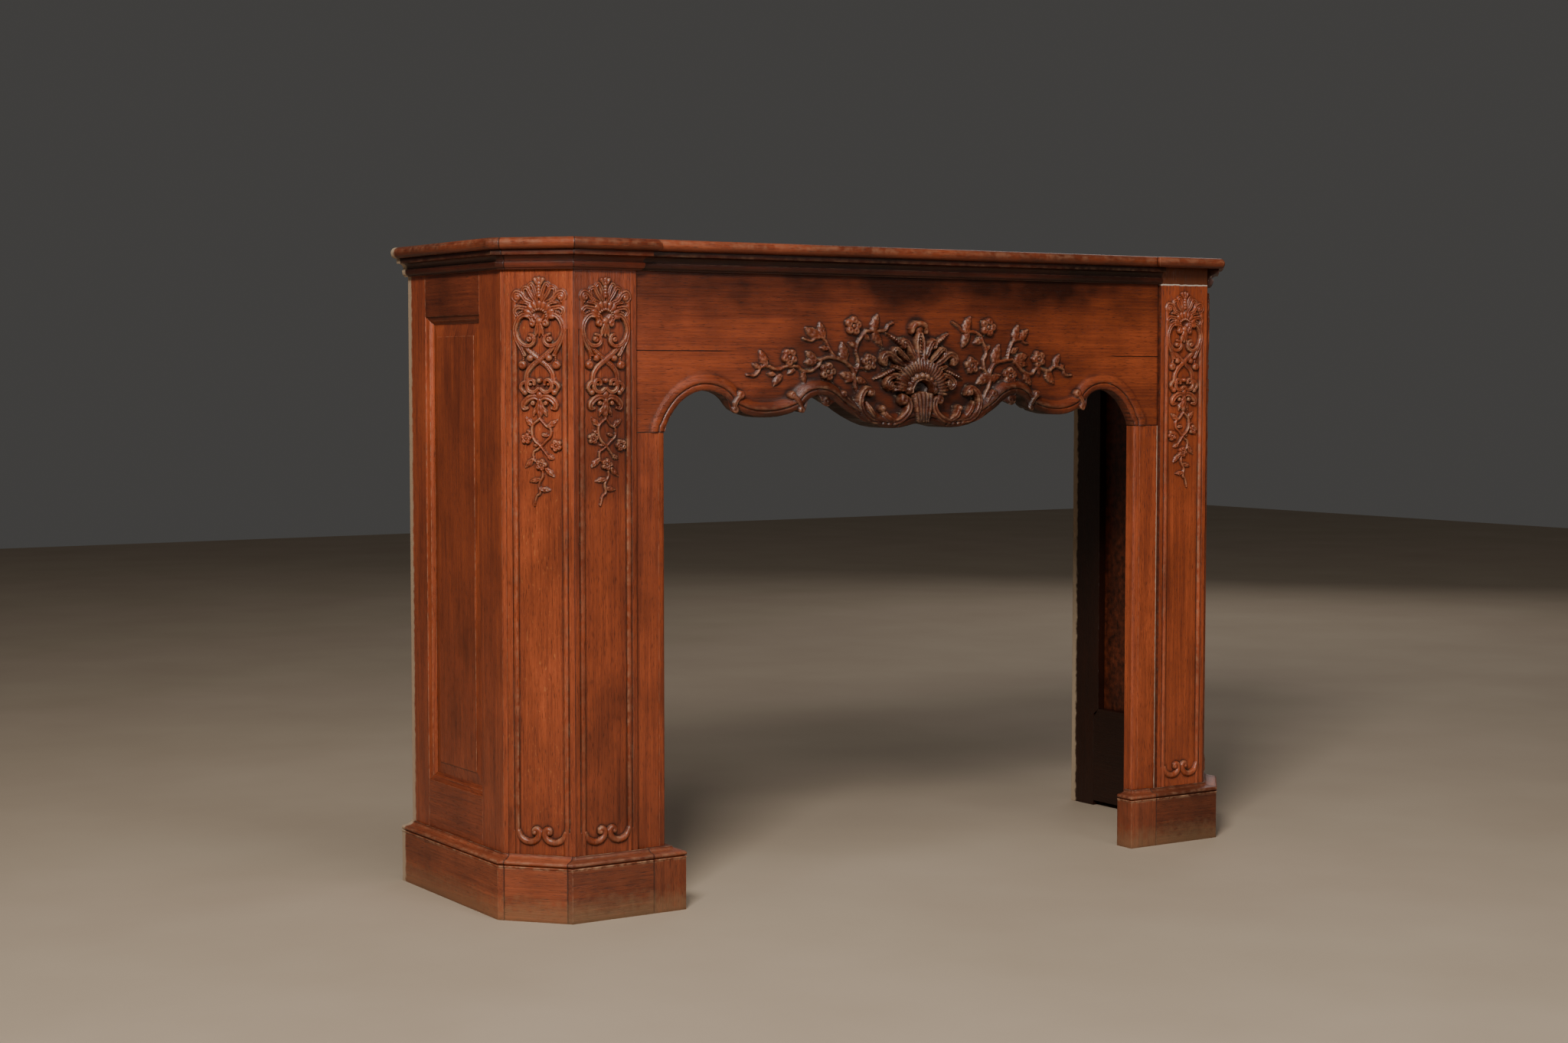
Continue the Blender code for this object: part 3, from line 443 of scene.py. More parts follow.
def moulding(node, stations, profile, material, side, shade, tone, arris):
    """A length of moulding; shade gives, by height, how dark its hollows are with dirt and painted shade,
    or, below zero, how worn and highlighted.
    """
    first, last = inset(stations[0], stations[1]), inset(stations[-1], stations[-2])
    bm = carry([stations[0], first, *stations[1:-1], last, stations[-1]], profile, side)
    hollow = bm.verts.layers.float["hollow"]
    soften(bm, arris * MM)
    crest = bm.verts.layers.float["crest"]
    heights, values = zip(*shade)
    for vert in bm.verts:
        value = float(np.interp(vert.co.z, heights, values))
        if vert[hollow] > 0.5:
            vert[crest] *= 0.25
        else:
            vert[hollow] = max(0.0, value)
            vert[crest] = max(vert[crest], -value)
    return hand_over(node, bm, material, tone, smooth=32)


def both_sides(kind, profile, shade, arris, faces):
    """The same lengths of moulding for the left and the right half, each with its wood and tone."""
    for side, label in SIDES:
        for face, stations, wood, tone in faces:
            wood = wood[side] if face == "cant" else wood
            moulding(f"{kind}_{face}_{label}", stations, profile, wood, side, shade, tone, arris)


def quarter(start, end, steps, bulge):
    """Points of a quarter ellipse between two points; bulge True leaves sideways first, as a round does."""
    points = []
    for step in range(1, steps + 1):
        turn = step / steps * math.pi / 2
        across, up = math.sin(turn), 1 - math.cos(turn)
        if not bulge:
            across, up = up, across
        points.append((start[0] + (end[0] - start[0]) * across, start[1] + (end[1] - start[1]) * up))
    return points


# %% [markdown]
# ### Shelf edge
# The shelf's edge is a half-round strip nailed on, one length to each face. It was planed by hand on the
# long faces; on the cut corners the cutter chattered. The back end of the side strip was against the wall
# and never took stain.

# %% Nosing strips
# Waxed oak: warm red-brown with light and dark streaks and a soft sheen.
STAINED = {"light": "#a8522f", "dark": "#5c281a", "rough": 0.35}
# Bare wood at the back, and painted shade, nearly black, on the faces turned to the chimney.
raw_end = ("#b7a287", 0.85, 12.0, (("Y", BACK_Y - 0.016, BACK_Y - 0.011),))
INSIDE_X = BODY_HALF - 0.015
painted_inside_shade = ("#160b07", 0.95, 3.0, (("X", -INSIDE_X, 0.003 - INSIDE_X), ("X", INSIDE_X, INSIDE_X - 0.003)))


def family(kind, finish, front=(), end=(raw_end,), corner=()):
    """One finish with its grain along the front, along the side and along each of the cut corners."""
    return (oak(kind + "_along_front", ALONG_FRONT, marks=front, **finish),
            oak(kind + "_along_side", ALONG_SIDE, marks=end, **finish),
            {side: oak(f"{kind}_along_corner_{label}", ALONG_CANT[side], marks=corner, **finish)
             for side, label in SIDES})


stained_front, stained_side, stained_cant = family("waxed_stained_oak", STAINED)
NOSE_ARRIS = 0.8


def nosing_profile():
    """Half round, seen in section, back to front."""
    radius = SHELF_T / 2
    arc = [(NOSE_OUT - radius + math.cos(a) * radius, HEIGHT - radius + math.sin(a) * radius)
           for a in (math.pi * step / 12 - math.pi / 2 for step in range(13))]
    return [(NOSE_OUT - NOSE_W, SHELF_Z)] + arc + [(NOSE_OUT - NOSE_W, HEIGHT)]


def left_of_break(out):
    """Where the middle strip ends, a hair short of the right return."""
    x, y = at_break_in(out)
    return (x - GAP, y)


def mirrored(station):
    """The same station on the left half."""
    return lambda out: (-station(out)[0], station(out)[1])


strip = nosing_profile()
nose_shade = ((SHELF_Z, 0.5), (SHELF_Z + 0.004, 0), (HEIGHT - 0.006, -0.45), (HEIGHT, -0.15))
moulding("nosing_centre", [mirrored(left_of_break), left_of_break], strip, stained_front, 1, nose_shade,
         -0.25, NOSE_ARRIS)
both_sides("nosing", strip, nose_shade, NOSE_ARRIS,
           (("front", [at_break_in, at_break_out, SHELF_PLAN.corner], stained_front, -0.2),
            ("cant", [SHELF_PLAN.past_corner, SHELF_PLAN.cut(END_GRAIN + GAP)], stained_cant, -0.15),
            ("side", [SHELF_PLAN.cut(END_GRAIN), SHELF_PLAN.side, at_back], stained_side, -0.38)))

# %% [markdown]
# ### Bed moulding
# Under the shelf runs a bed moulding: a small ovolo, a quirk, a cove and a square fillet that catches the
# light. It is stained nearly black. The length over the right front pilaster is lost, so none is made.

# %% Bed moulding
# Stained nearly black: the grain hardly shows and the wax gives thin lines of light.
DARK = {"light": "#6a2d1a", "dark": "#38160c", "rough": 0.34, "wear_and_highlight_strength": 0.3}
dark_front, dark_side, dark_cant = family("dark_stained_oak", DARK)


def cornice_profile():
    """Ovolo, quirk, cove and fillet, from the wall outwards and up."""
    points = [(0, 0), (0.0068, 0), (0.0070, 0.0018)]
    points += quarter((0.0074, 0.0022), (0.0110, 0.0100), 5, True)
    points += [(0.0108, 0.0116), (0.0100, 0.0122), (0.0085, 0.0124), (0.0085, 0.0134)]
    points += quarter((0.0085, 0.0134), (0.0180, 0.0225), 7, False)
    points += [(0.0210, 0.0227), (0.0210, CORNICE_H - GAP), (0, CORNICE_H - GAP)]
    return [(out, CORNICE_Z + z) for out, z in points]


def meets_return(out):
    """Left end of the middle length."""
    return (-PILASTER_IN + off(out) + GAP, FRIEZE_Y - off(out))


def square_end(out):
    """Right end of the middle length, cut square where the return is lost."""
    return (PILASTER_IN - 2 * GAP, FRIEZE_Y - off(out))


bed = cornice_profile()
bed_shade = ((CORNICE_Z, 0.7), (CORNICE_Z + 0.004, 0.1), (CORNICE_Z + 0.009, -0.1),
             (CORNICE_Z + 0.0128, 1.0), (CORNICE_Z + 0.015, 0.25), (CORNICE_Z + 0.021, 0.35),
             (CORNICE_Z + 0.023, -0.5), (SHELF_Z - 0.003, 0.1), (SHELF_Z, 0.8))
BED_ARRIS = 0.5
# Tones: the middle length is darker as painted shadow under the shelf's edge, the left front length and the
# cut corners lighter as painted light, and the sides darker as painted shade.
moulding("cornice_centre", [meets_return, square_end], bed, dark_front, 1, bed_shade, -0.5, BED_ARRIS)
moulding("cornice_front_left", [at_break_in, at_break_out, SHELF_PLAN.corner], bed, dark_front, -1,
         bed_shade, 0.2, BED_ARRIS)
both_sides("cornice", bed, bed_shade, BED_ARRIS,
           (("cant", [SHELF_PLAN.past_corner, SHELF_PLAN.cut(END_GRAIN + GAP)], dark_cant, 0.2),
            ("side", [SHELF_PLAN.cut(END_GRAIN), SHELF_PLAN.side, at_back], dark_side, -0.3)))

# %% [markdown]
# ### Plinth
# Each foot is boxed in by four boards with a moulding worked on their top edge: a fillet, a round nose
# and a hollow up to the pilaster. Wet floors have drawn the stain out of the lowest inch, so the wood
# there is grey and dry. The narrow block inside the opening has its grain upright.

# %% Plinth boards
# Dry oak: greyer, dull, with the arrises rubbed to bare wood.
FOOT = {"light": "#9c5030", "dark": "#582817", "rough": 0.48, "wear_and_highlight_strength": 1.3}
bleached = ("#826649", 0.55, 50.0, (("Z", 0.044, 0.010),))
damp = ("#8a6c4c", 0.45, 60.0, (("Z", 0.046, 0.010),))
foot_front, foot_side, foot_cant = family("dry_stained_oak", FOOT, (bleached,), (damp, raw_end), (damp,))
foot_up = oak("dry_stained_oak_upright", UPRIGHT, marks=(bleached,), **FOOT)
PLINTH_ARRIS = 1.4


def plinth_profile():
    """Board face, fillet, quirk, round nose and hollow, from the floor up."""
    base = PLINTH_H - PLINTH_CAP
    nose_foot, nose_top, nose_in = base + 0.0036, base + 0.0115, PLINTH_OUT - 0.0030
    points = [(0, 0), (PLINTH_OUT, 0), (PLINTH_OUT, 0.006), (PLINTH_OUT, base - 0.003), (PLINTH_OUT, base),
              (PLINTH_OUT + 0.001, base + 0.0006),
              (PLINTH_OUT + 0.001, base + 0.0027), (PLINTH_OUT - 0.0022, base + 0.0031)]
    for step in range(1, 8):
        turn = step / 7 * math.pi - math.pi / 2
        points.append((nose_in + 0.0042 * math.cos(turn), (nose_foot + nose_top) / 2
                       + (nose_top - nose_foot) / 2 * math.sin(turn)))
    points += quarter(points[-1], (0.0035, PLINTH_H - 0.0012), 6, True)
    return points + [(0.0035, PLINTH_H), (0, PLINTH_H)]


plinth = plinth_profile()
front_edge = CORNER_HALF + 0.0182
joint = front_edge - PLINTH_FRONT_W
block_in = joint - PLINTH_INNER_W


def block_x(out):
    """Inner face of the block beside the opening."""
    return block_in + PLINTH_OUT - out if out > GAP else OPEN_HALF - GAP


def block_y(out):
    """Front face of the same block."""
    return FACE_Y - out if out > GAP else FRIEZE_Y - GAP


block = [lambda out: (joint - GAP, block_y(out)), lambda out: (block_x(out), block_y(out)),
         lambda out: (block_x(out), FACE_Y - PLINTH_OUT + PLINTH_RETURN)]
toe = [lambda out: (joint, FACE_Y - off(out)), PLINTH_PLAN.corner,
       lambda out: on_cant(PLINTH_PLAN.out(out), PLINTH_LAP)]
plinth_shade = ((0, 0.4), (0.0055, 0), (0.0834, 0), (0.087, -0.7), (0.0885, -0.8), (0.0896, 0.45),
                (0.091, 0.0), (0.095, -0.3), (0.099, 0.0), (0.102, -0.25), (0.1045, 0.5), (0.106, 0.9))
both_sides("plinth", plinth, plinth_shade, PLINTH_ARRIS,
           (("inner", block, foot_up, 0.0), ("front", toe, foot_front, -0.3),
            ("cant", [lambda out: on_cant(PLINTH_PLAN.out(out), PLINTH_LAP + GAP),
                      PLINTH_PLAN.cut(END_GRAIN + GAP)], foot_cant, 0.22),
            ("side", [PLINTH_PLAN.cut(END_GRAIN), PLINTH_PLAN.side, at_back], foot_side, 0.15)))

# %% [markdown]
# ## Plain boards
# Shelf, stiles, rails, panels and jambs have the right shape in the solids already. A solid's mesh is loose
# triangles, so a copy is welded and its flat triangles joined into faces, and then the arrises are rounded.

# %% Boards copied from their solids
def welded(node):
    """A copy of a solid's mesh with its points merged and its flat faces joined."""
    bm = bmesh.new()
    bm.from_mesh(frame["nodes"][node].data)
    bmesh.ops.remove_doubles(bm, verts=bm.verts, dist=0.000001)
    bmesh.ops.dissolve_limit(bm, angle_limit=math.radians(0.5), verts=bm.verts, edges=bm.edges)
    return bm


stained_up = oak("waxed_stained_oak_upright", UPRIGHT, marks=(raw_end,), **STAINED)
frame_up = oak("waxed_stained_oak_frame_upright", UPRIGHT, marks=(painted_inside_shade, raw_end), wear_and_highlight_strength=1.0, **STAINED)
frame_side = oak("waxed_stained_oak_frame_along", ALONG_SIDE, marks=(painted_inside_shade, raw_end), wear_and_highlight_strength=1.0, **STAINED)
# Plaster is left in the joint between the right jamb and its pilaster.
residue = ("#b9ab98", 0.65, 4.0, (("X", PILASTER_IN - 0.0030, PILASTER_IN - 0.0020),))
jamb_up = {"left": stained_up, "right": oak("waxed_stained_oak_with_plaster", UPRIGHT, marks=(residue,),
                                            **STAINED)}
plain_boards = [("shelf_board", stained_front, 0.0, 0.6)]
for label in ("left", "right"):
    plain_boards += [("side_stile_front_" + label, frame_up, 0.13, 0.9),
                     ("side_stile_back_" + label, frame_up, 0.22, 0.9),
                     ("side_rail_top_" + label, frame_side, -0.38, 0.9),
                     ("side_rail_bottom_" + label, frame_side, 0.0, 0.9),
                     ("side_panel_" + label, frame_up, 0.0, 0.8),
                     ("jamb_" + label, jamb_up[label], -0.04 if label == "left" else 0.24, 0.7)]
for node, material, tone, arris in plain_boards:
    board_bm = welded(node)
    soften(board_bm, arris * MM, angle=24)
    hand_over(node, board_bm, material, tone)

# %% [markdown]
# ## Carving
# The ornament is low relief, cut from the face of the board, so it has no undercuts: over every point of
# the face there is just one height. That makes a sheet of close-set points the right stock. Each stroke
# of the chisel, a stem, leaf, petal or bead, is a rule for how high the wood stands at a distance from a
# line or a point, and only the points near it are looked at. Where two forms cross, the higher stands.
# The heights are worked out for all points together, the sheet's points are moved, and its rim is drawn
# back to the thickness of the board and closed. Sculpting by modifiers on a cube would need far more
# faces for the same crispness. What stands higher than its surroundings is marked as worn and painted as a
# highlight, and what lies lower as dirty and painted as shade.

# %% Strokes of the chisel
def flowing(points, step=1.5):
    """A smooth line through the points given, in mm."""
    p = np.array(points, float)
    ends = np.vstack([2 * p[0] - p[1], p, 2 * p[-1] - p[-2]])
    parts = []
    for p0, p1, p2, p3 in zip(ends, ends[1:], ends[2:], ends[3:]):
        t = np.linspace(0, 1, max(2, int(np.hypot(*(p2 - p1)) / step) + 1), endpoint=False)[:, None]
        parts.append(0.5 * (2 * p1 + (p2 - p0) * t + (2 * p0 - 5 * p1 + 4 * p2 - p3) * t ** 2
                            + (3 * p1 - p0 - 3 * p2 + p3) * t ** 3))
    return np.vstack(parts + [p[-1:]])


class Relief:
    """Heights in mm over a sheet of points (s across, z up); ground is what the forms stand on."""

    def __init__(self, s, z, ground=0.0):
        self.s, self.z = s, z
        self.h = np.zeros_like(s)
        self.ground = ground
        self.face()

    def face(self, side=1, up=0.0):
        """Chooses the half that the next strokes are for, and the height that they count from."""
        self.side, self.up = side, up

    def at(self, s, z):
        """A place on the sheet, from its place in the drawing."""
        return self.side * s, self.up + z

    def near(self, low, high, reach):
        """The points within reach of a box."""
        return np.nonzero((self.s > low[0] - reach) & (self.s < high[0] + reach)
                          & (self.z > low[1] - reach) & (self.z < high[1] + reach))

    def lift(self, spots, inside, top):
        """Raises the points inside a form to its height, unless they stand higher already."""
        rows, columns = spots[0][inside], spots[1][inside]
        self.h[rows, columns] = np.maximum(self.h[rows, columns], self.ground + top[inside])

    def beside(self, path, reach):
        """Points near a line, with their distance from it and how far along it they lie."""
        start, step = path[:-1], path[1:] - path[:-1]
        size = np.hypot(step[:, 0], step[:, 1])
        total = np.concatenate([[0], np.cumsum(size)])
        spots = self.near(path.min(0), path.max(0), reach)
        gap = np.stack([self.s[spots], self.z[spots]], -1)[:, None, :] - start
        share = np.clip((gap * step).sum(-1) / (size ** 2), 0, 1)
        gap -= step * share[..., None]
        far = np.hypot(gap[..., 0], gap[..., 1])
        k = far.argmin(1)
        row = np.arange(len(k))
        return spots, far[row, k], total[k] + share[row, k] * size[k], total[-1]

    def stem(self, points, width, height, ends=(0.8, 0.4), channel=0.0, beads=0.0):
        """A rounded stem or scroll, which may be channelled along its middle or cut into beads."""
        spots, far, length, total = self.beside(flowing([self.at(*p) for p in points]), width)
        t = length / total
        swelling = ends[0] + (1 - ends[0]) * np.clip(4 * t, 0, 1)
        size = swelling * (ends[1] + (1 - ends[1]) * np.clip(3 - 3 * t, 0, 1))
        q = far / (width / 2 * size)
        top = height * (0.45 + 0.55 * size) * (0.42 + 0.58 * np.sqrt(np.clip(1 - q * q, 0, 1)))
        top -= channel * np.exp(-(q / 0.3) ** 2)
        if beads:
            top -= 0.34 * height * (1 - np.abs(np.sin(np.pi * length / beads)))
        self.lift(spots, q < 1, top)

    def knob(self, s, z, radius, height, eye=0.0):
        """A round boss; eye is the depth of the hole bored in it."""
        s, z = self.at(s, z)
        spots = self.near((s, z), (s, z), radius)
        q = np.hypot(self.s[spots] - s, self.z[spots] - z) / radius
        top = height * (0.4 + 0.6 * np.sqrt(np.clip(1 - q * q, 0, 1))) - eye * np.exp(-(q / 0.38) ** 2)
        self.lift(spots, q < 1, top)

    def leaf(self, start, tip, width, height, lobes=3):
        """A lobed leaf from its stalk to its tip, with veins; it dips towards the tip."""
        start, tip = self.at(*start), self.at(*tip)
        along = np.subtract(tip, start).astype(float)
        length = math.hypot(*along)
        along /= length
        spots = self.near(np.minimum(start, tip), np.maximum(start, tip), width)
        ds, dz = self.s[spots] - start[0], self.z[spots] - start[1]
        a = np.clip((ds * along[0] + dz * along[1]) / length, -1, 2)
        b = np.abs(dz * along[0] - ds * along[1])
        t = np.clip(a, 0.001, 1)
        lobed = 0.80 + 0.20 * np.abs(np.cos(lobes * np.pi * t))
        half = width / 2 * np.sin(np.pi * t ** 0.72) ** 0.75 * lobed
        q = b / np.maximum(half, 0.01)
        top = height * (0.55 + 0.45 * (1 - q * q)) * (1 - 0.22 * t)
        veins = 1 - np.cos(2 * np.pi * (lobes * t - b / width * 1.6))
        top -= 0.9 * np.exp(-(b / 0.9) ** 2) + 0.45 * veins
        self.lift(spots, (a > 0) & (a < 1) & (q < 1), top)

    def flower(self, s, z, radius, turn, height):
        """Five cupped petals round a bored eye."""
        for k in range(5):
            angle = math.radians(turn) + math.tau * k / 5
            self.knob(s + 0.60 * radius * math.cos(angle), z + 0.60 * radius * math.sin(angle),
                      0.43 * radius, height, eye=0.32 * height)
        self.bore(s, z, 0.36 * radius, 0.35 * height)
        self.knob(s, z, 0.24 * radius, 0.95 * height, eye=0.2 * height)

    def fan(self, s, z, inner, outer, start, stop, flutes, height, depth=0.28):
        """Flutes spreading from a point between two angles, as on a shell."""
        s, z = self.at(s, z)
        spots = self.near((s, z), (s, z), outer * 1.1)
        ds, dz = self.s[spots] - s, self.z[spots] - z
        r, angle = np.hypot(ds, dz), np.degrees(np.arctan2(dz, ds))
        t = (angle - start) / (stop - start)
        ridge = np.abs(np.sin(np.pi * flutes * np.clip(t, 0, 1)))
        q = (r - inner) / (outer * (0.90 + 0.10 * ridge) - inner)
        bow = 0.62 + 0.38 * np.sin(np.pi * np.clip(q, 0, 1) * 0.75)
        top = height * bow * (1 - depth + depth * ridge ** 0.7)
        self.lift(spots, (t > 0) & (t < 1) & (q > 0) & (q < 1), top)

    def bore(self, s, z, radius, depth):
        """A round hollow cut into whatever is there."""
        s, z = self.at(s, z)
        spots = self.near((s, z), (s, z), radius)
        q = np.hypot(self.s[spots] - s, self.z[spots] - z) / radius
        self.h[spots] -= depth * np.clip(1 - q ** 3, 0, 1)


def blurred(field, times):
    """Each height averaged with its neighbours, over and over."""
    for _ in range(times):
        wide = np.pad(field, 1, mode="edge")
        sides = wide[1:-1, :-2] + wide[1:-1, 2:] + wide[:-2, 1:-1] + wide[2:, 1:-1]
        field = (sides + 4 * wide[1:-1, 1:-1]) / 8
    return field


# %% Turning a sheet into a board
# The drawn-back rim, the board's edges and underside, is darkened: dirt and painted shade.
EDGE_DIRT_AND_SHADE = 0.85


def carved_board(node, s, z, h, to_space, draw_back, material, tone, soot, shadow=0.0):
    """Sets a grid to the heights, draws its rim back and closes it; soot adds dirt and shadow darkens."""
    rows, columns = s.shape
    bm = bmesh.new()
    bmesh.ops.create_grid(bm, x_segments=columns - 1, y_segments=rows - 1, size=1.0)
    crest = bm.verts.layers.float.new("crest")
    hollow = bm.verts.layers.float.new("hollow")
    shade = bm.verts.layers.float.new("tone")
    # Crests are marked as worn and painted highlight, hollows as dirt and painted shade.
    close, wide = h - blurred(h, 4), h - blurred(h, 60)
    worn_and_highlit = np.clip(close * 1.3 + wide * 0.16 - 0.15, 0, 1)
    dirt_and_shade = np.clip(np.clip(-close * 1.6 - wide * 0.34 - 0.05, 0, 1) + soot, 0, 1)
    darker = np.broadcast_to(-shadow, s.shape)
    spots = zip(s.ravel(), z.ravel(), h.ravel(), worn_and_highlit.ravel(), dirt_and_shade.ravel(), darker.ravel())
    for vert, (across, up, height, high, low, dark) in zip(bm.verts, spots):
        vert.co = to_space(across, up, height)
        vert[shade] = dark
        vert[crest] = high
        vert[hollow] = low
    rim = [edge for edge in bm.edges if edge.is_boundary]
    grown = bmesh.ops.extrude_edge_only(bm, edges=rim)["geom"]
    for vert in (g for g in grown if isinstance(g, bmesh.types.BMVert)):
        vert.co = draw_back(vert.co)
        vert[crest] = 0.0
        vert[hollow] = EDGE_DIRT_AND_SHADE
    back_rim = [g for g in grown if isinstance(g, bmesh.types.BMEdge) and g.is_boundary]
    bmesh.ops.edgeloop_fill(bm, edges=back_rim)
    bmesh.ops.recalc_face_normals(bm, faces=bm.faces)
    return hand_over(node, bm, material, tone, smooth=60)


# %% [markdown]
# ## Pilasters
# Each pilaster has a bead round a sunk field. At the head the bead makes two small arches, and at the foot
# its ends curl into volutes. Over the head hangs a trophy: a shell with plumes, a heart of two scrolls,
# crossed straps, curled leaves and a flowering vine that wanders down the field.

# %% Bead and sunk field
FRAME_HALF, HEAD, FOOT_TURN = 42.5, CORNICE_Z / MM - 80, PLINTH_H / MM + 45
bead_head = [(3, HEAD), (10, HEAD + 6), (21, HEAD + 8.5), (33, HEAD + 4.5), (FRAME_HALF - 1.5, HEAD - 7),
             (FRAME_HALF, HEAD - 22)]
bead_foot = [(FRAME_HALF, FOOT_TURN + 6), (FRAME_HALF - 2, FOOT_TURN - 8), (36, FOOT_TURN - 18),
             (28, FOOT_TURN - 23.5), (19, FOOT_TURN - 24.8), (11, FOOT_TURN - 22), (5.8, FOOT_TURN - 15.5),
             (4.6, FOOT_TURN - 8), (8.5, FOOT_TURN - 3.5), (13.5, FOOT_TURN - 5), (13.8, FOOT_TURN - 10)]


def inside_loop(loop, s, z):
    """Which points lie inside a closed loop, by counting how often a line to the right crosses it."""
    inside = np.zeros(s.shape, bool)
    for (s0, z0), (s1, z1) in zip(loop, np.roll(loop, -1, axis=0)):
        if z0 != z1:
            crosses = ((z0 > z) != (z1 > z)) & (s < s0 + (z - z0) * (s1 - s0) / (z1 - z0))
            inside ^= crosses
    return inside


def frame_bead(relief):
    """Sinks the field and raises the bead round it."""
    right = np.vstack([flowing(bead_head), flowing(bead_foot)[:-8]])
    loop = np.vstack([right, (right * (-1, 1))[::-1]])
    relief.h[inside_loop(loop, relief.s, relief.z)] = -SUNK / MM
    quirk = np.abs(np.abs(relief.s) - FRAME_HALF - 5.2) < 0.9
    relief.h[quirk & (relief.z > FOOT_TURN - 8) & (relief.z < HEAD - 16)] -= 1.1
    for side in (1, -1):
        relief.face(side)
        relief.stem(bead_head + bead_foot, 8.4, 4.7, ends=(0.9, 0.75))
        relief.stem(bead_foot[1:], 10.4, 6.2, ends=(0.7, 0.7))
        relief.knob(12.3, FOOT_TURN - 9.3, 4.3, 6.4)


print("field", round(2 * FRAME_HALF), "mm between the beads")


# %% The trophy that hangs in the field
def trophy(relief, hand):
    """Shell, heart, straps, leaves and vine; hand turns the vine for the left or right pilasters."""
    for side in (1, -1):
        relief.face(side)
        for path, width in (([(3, 998), (7, 1016), (12, 1026), (17, 1023), (16, 1014)], 7),
                            ([(5, 997), (14, 1010), (20, 1020), (27, 1018), (26, 1009)], 7.5),
                            ([(9, 996), (22, 1001), (31, 1011), (40, 1013), (44, 1005), (39, 999)], 8.5),
                            ([(12, 991), (21, 996), (31, 997)], 6),
                            ([(13, 986), (25, 988), (36, 989), (42, 983), (38, 976)], 8)):
            relief.stem(path, width, 6.2, ends=(0.6, 0.75), channel=1.9)
        relief.stem([(18, 999), (30, 1008)], 4, 6.0, beads=3.2)
        relief.knob(37, 1005, 5.5, 7, eye=1.6)
        relief.stem([(11, 963), (15, 973), (26, 977), (36, 969), (41, 954), (38, 938), (31, 924),
                     (25, 913)], 8, 6.6, ends=(0.9, 0.7), channel=2.0)
        relief.stem([(15, 978), (27, 983), (39, 977)], 3.6, 5.2, beads=3.4)
        relief.stem([(39, 949), (35, 937), (26, 929), (16, 928), (9, 934), (10, 943), (17, 946)], 6.8, 6.2,
                    ends=(0.8, 0.7), channel=1.2)
        relief.knob(17, 938, 5, 6.8, eye=2.0)
        relief.knob(11, 964, 6, 7, eye=2.2)
        relief.stem([(42, 948), (37, 933), (30, 920), (27, 908), (30, 899)], 4, 5, beads=3.4)
        relief.knob(29, 897, 7, 6.6, eye=1.2)
        relief.knob(16, 908, 5.5, 6)
        strap = [(25, 926), (13, 915), (0, 905), (-13, 895), (-21, 884), (-23, 872)]
        relief.stem(strap, 8.5, 4.6 + 0.5 * side, ends=(0.9, 0.9), channel=1.0)
        relief.stem([(s + 3.4, z + 2.4) for s, z in strap], 2.6, 5.4, beads=3.0)
        relief.stem([(2, 859), (9, 853.5), (18, 856), (21.5, 865), (17, 873), (10, 872), (9, 866)], 6.8,
                    6.6, ends=(0.9, 0.7), channel=1.3)
        relief.stem([(15, 866), (26, 869), (32, 862), (27, 853)], 6.5, 6, ends=(0.8, 0.9), channel=1.0)
        relief.knob(25, 853, 4.8, 6.6)
        relief.stem([(2, 843), (9, 846), (19, 843), (27, 835), (27, 828), (21, 828)], 10.5, 6.4,
                    ends=(0.8, 0.5), channel=1.6)
        relief.knob(11, 836, 4, 7, eye=1.6)
        relief.leaf((4, 832), (12, 814), 8, 5.2, 2)
    relief.face()
    for z in (1007, 1012, 1017, 1022, 1027):
        relief.knob(0, z, 4, 6.6)
    relief.fan(0, 1018, 3, 20, 55, 125, 3, 6)
    relief.fan(0, 973, 12, 27, -8, 188, 9, 6.6)
    relief.stem([(-13, 972), (-11, 981), (0, 986), (11, 981), (13, 972)], 5, 7, ends=(1, 1), beads=4)
    relief.bore(0, 976, 7.5, 2.2)
    relief.knob(0, 967, 6, 6.6)
    for lean in (-7, 0, 7):
        relief.leaf((lean * 0.3, 965), (lean, 941), 8.5, 6.5, 1)
    relief.knob(0, 872, 4.5, 6.4)
    relief.knob(0, 850, 5.5, 6.4)
    relief.leaf((0, 842), (0, 809), 15, 6.4, 3)
    vines = (([(0, 811), (-12, 800), (-13, 785), (-8, 775), (0, 768), (8, 758), (14, 750)], 4.2, 4.8),
             ([(0, 811), (10, 800), (18, 795), (18, 783), (10, 775), (3, 768), (-4, 762), (-11, 757),
               (-10, 745), (-4, 740)], 4.0, 4.0),
             ([(3, 736), (5, 720), (0, 710), (-2, 704), (0, 692), (-6, 686), (-10, 671)], 3.8, 4.2))
    relief.face(-hand)
    for path, width, height in vines:
        relief.stem(path, width, height, ends=(1, 0.6))
    for start, tip, width in (((-12, 799), (-25, 813), 10), ((14, 798), (30, 809), 10),
                              ((3, 786), (16, 783), 7), ((-2, 769), (-12, 768), 6),
                              ((-11, 747), (-26, 732), 10), ((13, 751), (24, 746), 9),
                              ((9, 732), (24, 717), 10), ((1, 714), (-19, 710), 9),
                              ((0, 698), (18, 696), 9), ((-12, 786), (-23, 793), 7)):
        relief.leaf(start, tip, width, 4.8, 2)
    relief.face()
    for s, z, radius, turn in ((-23, 779, 9, 10), (28, 768, 9.8, 40), (2, 737, 9.8, 0)):
        relief.flower(-hand * s, z, radius, turn, 6.2)
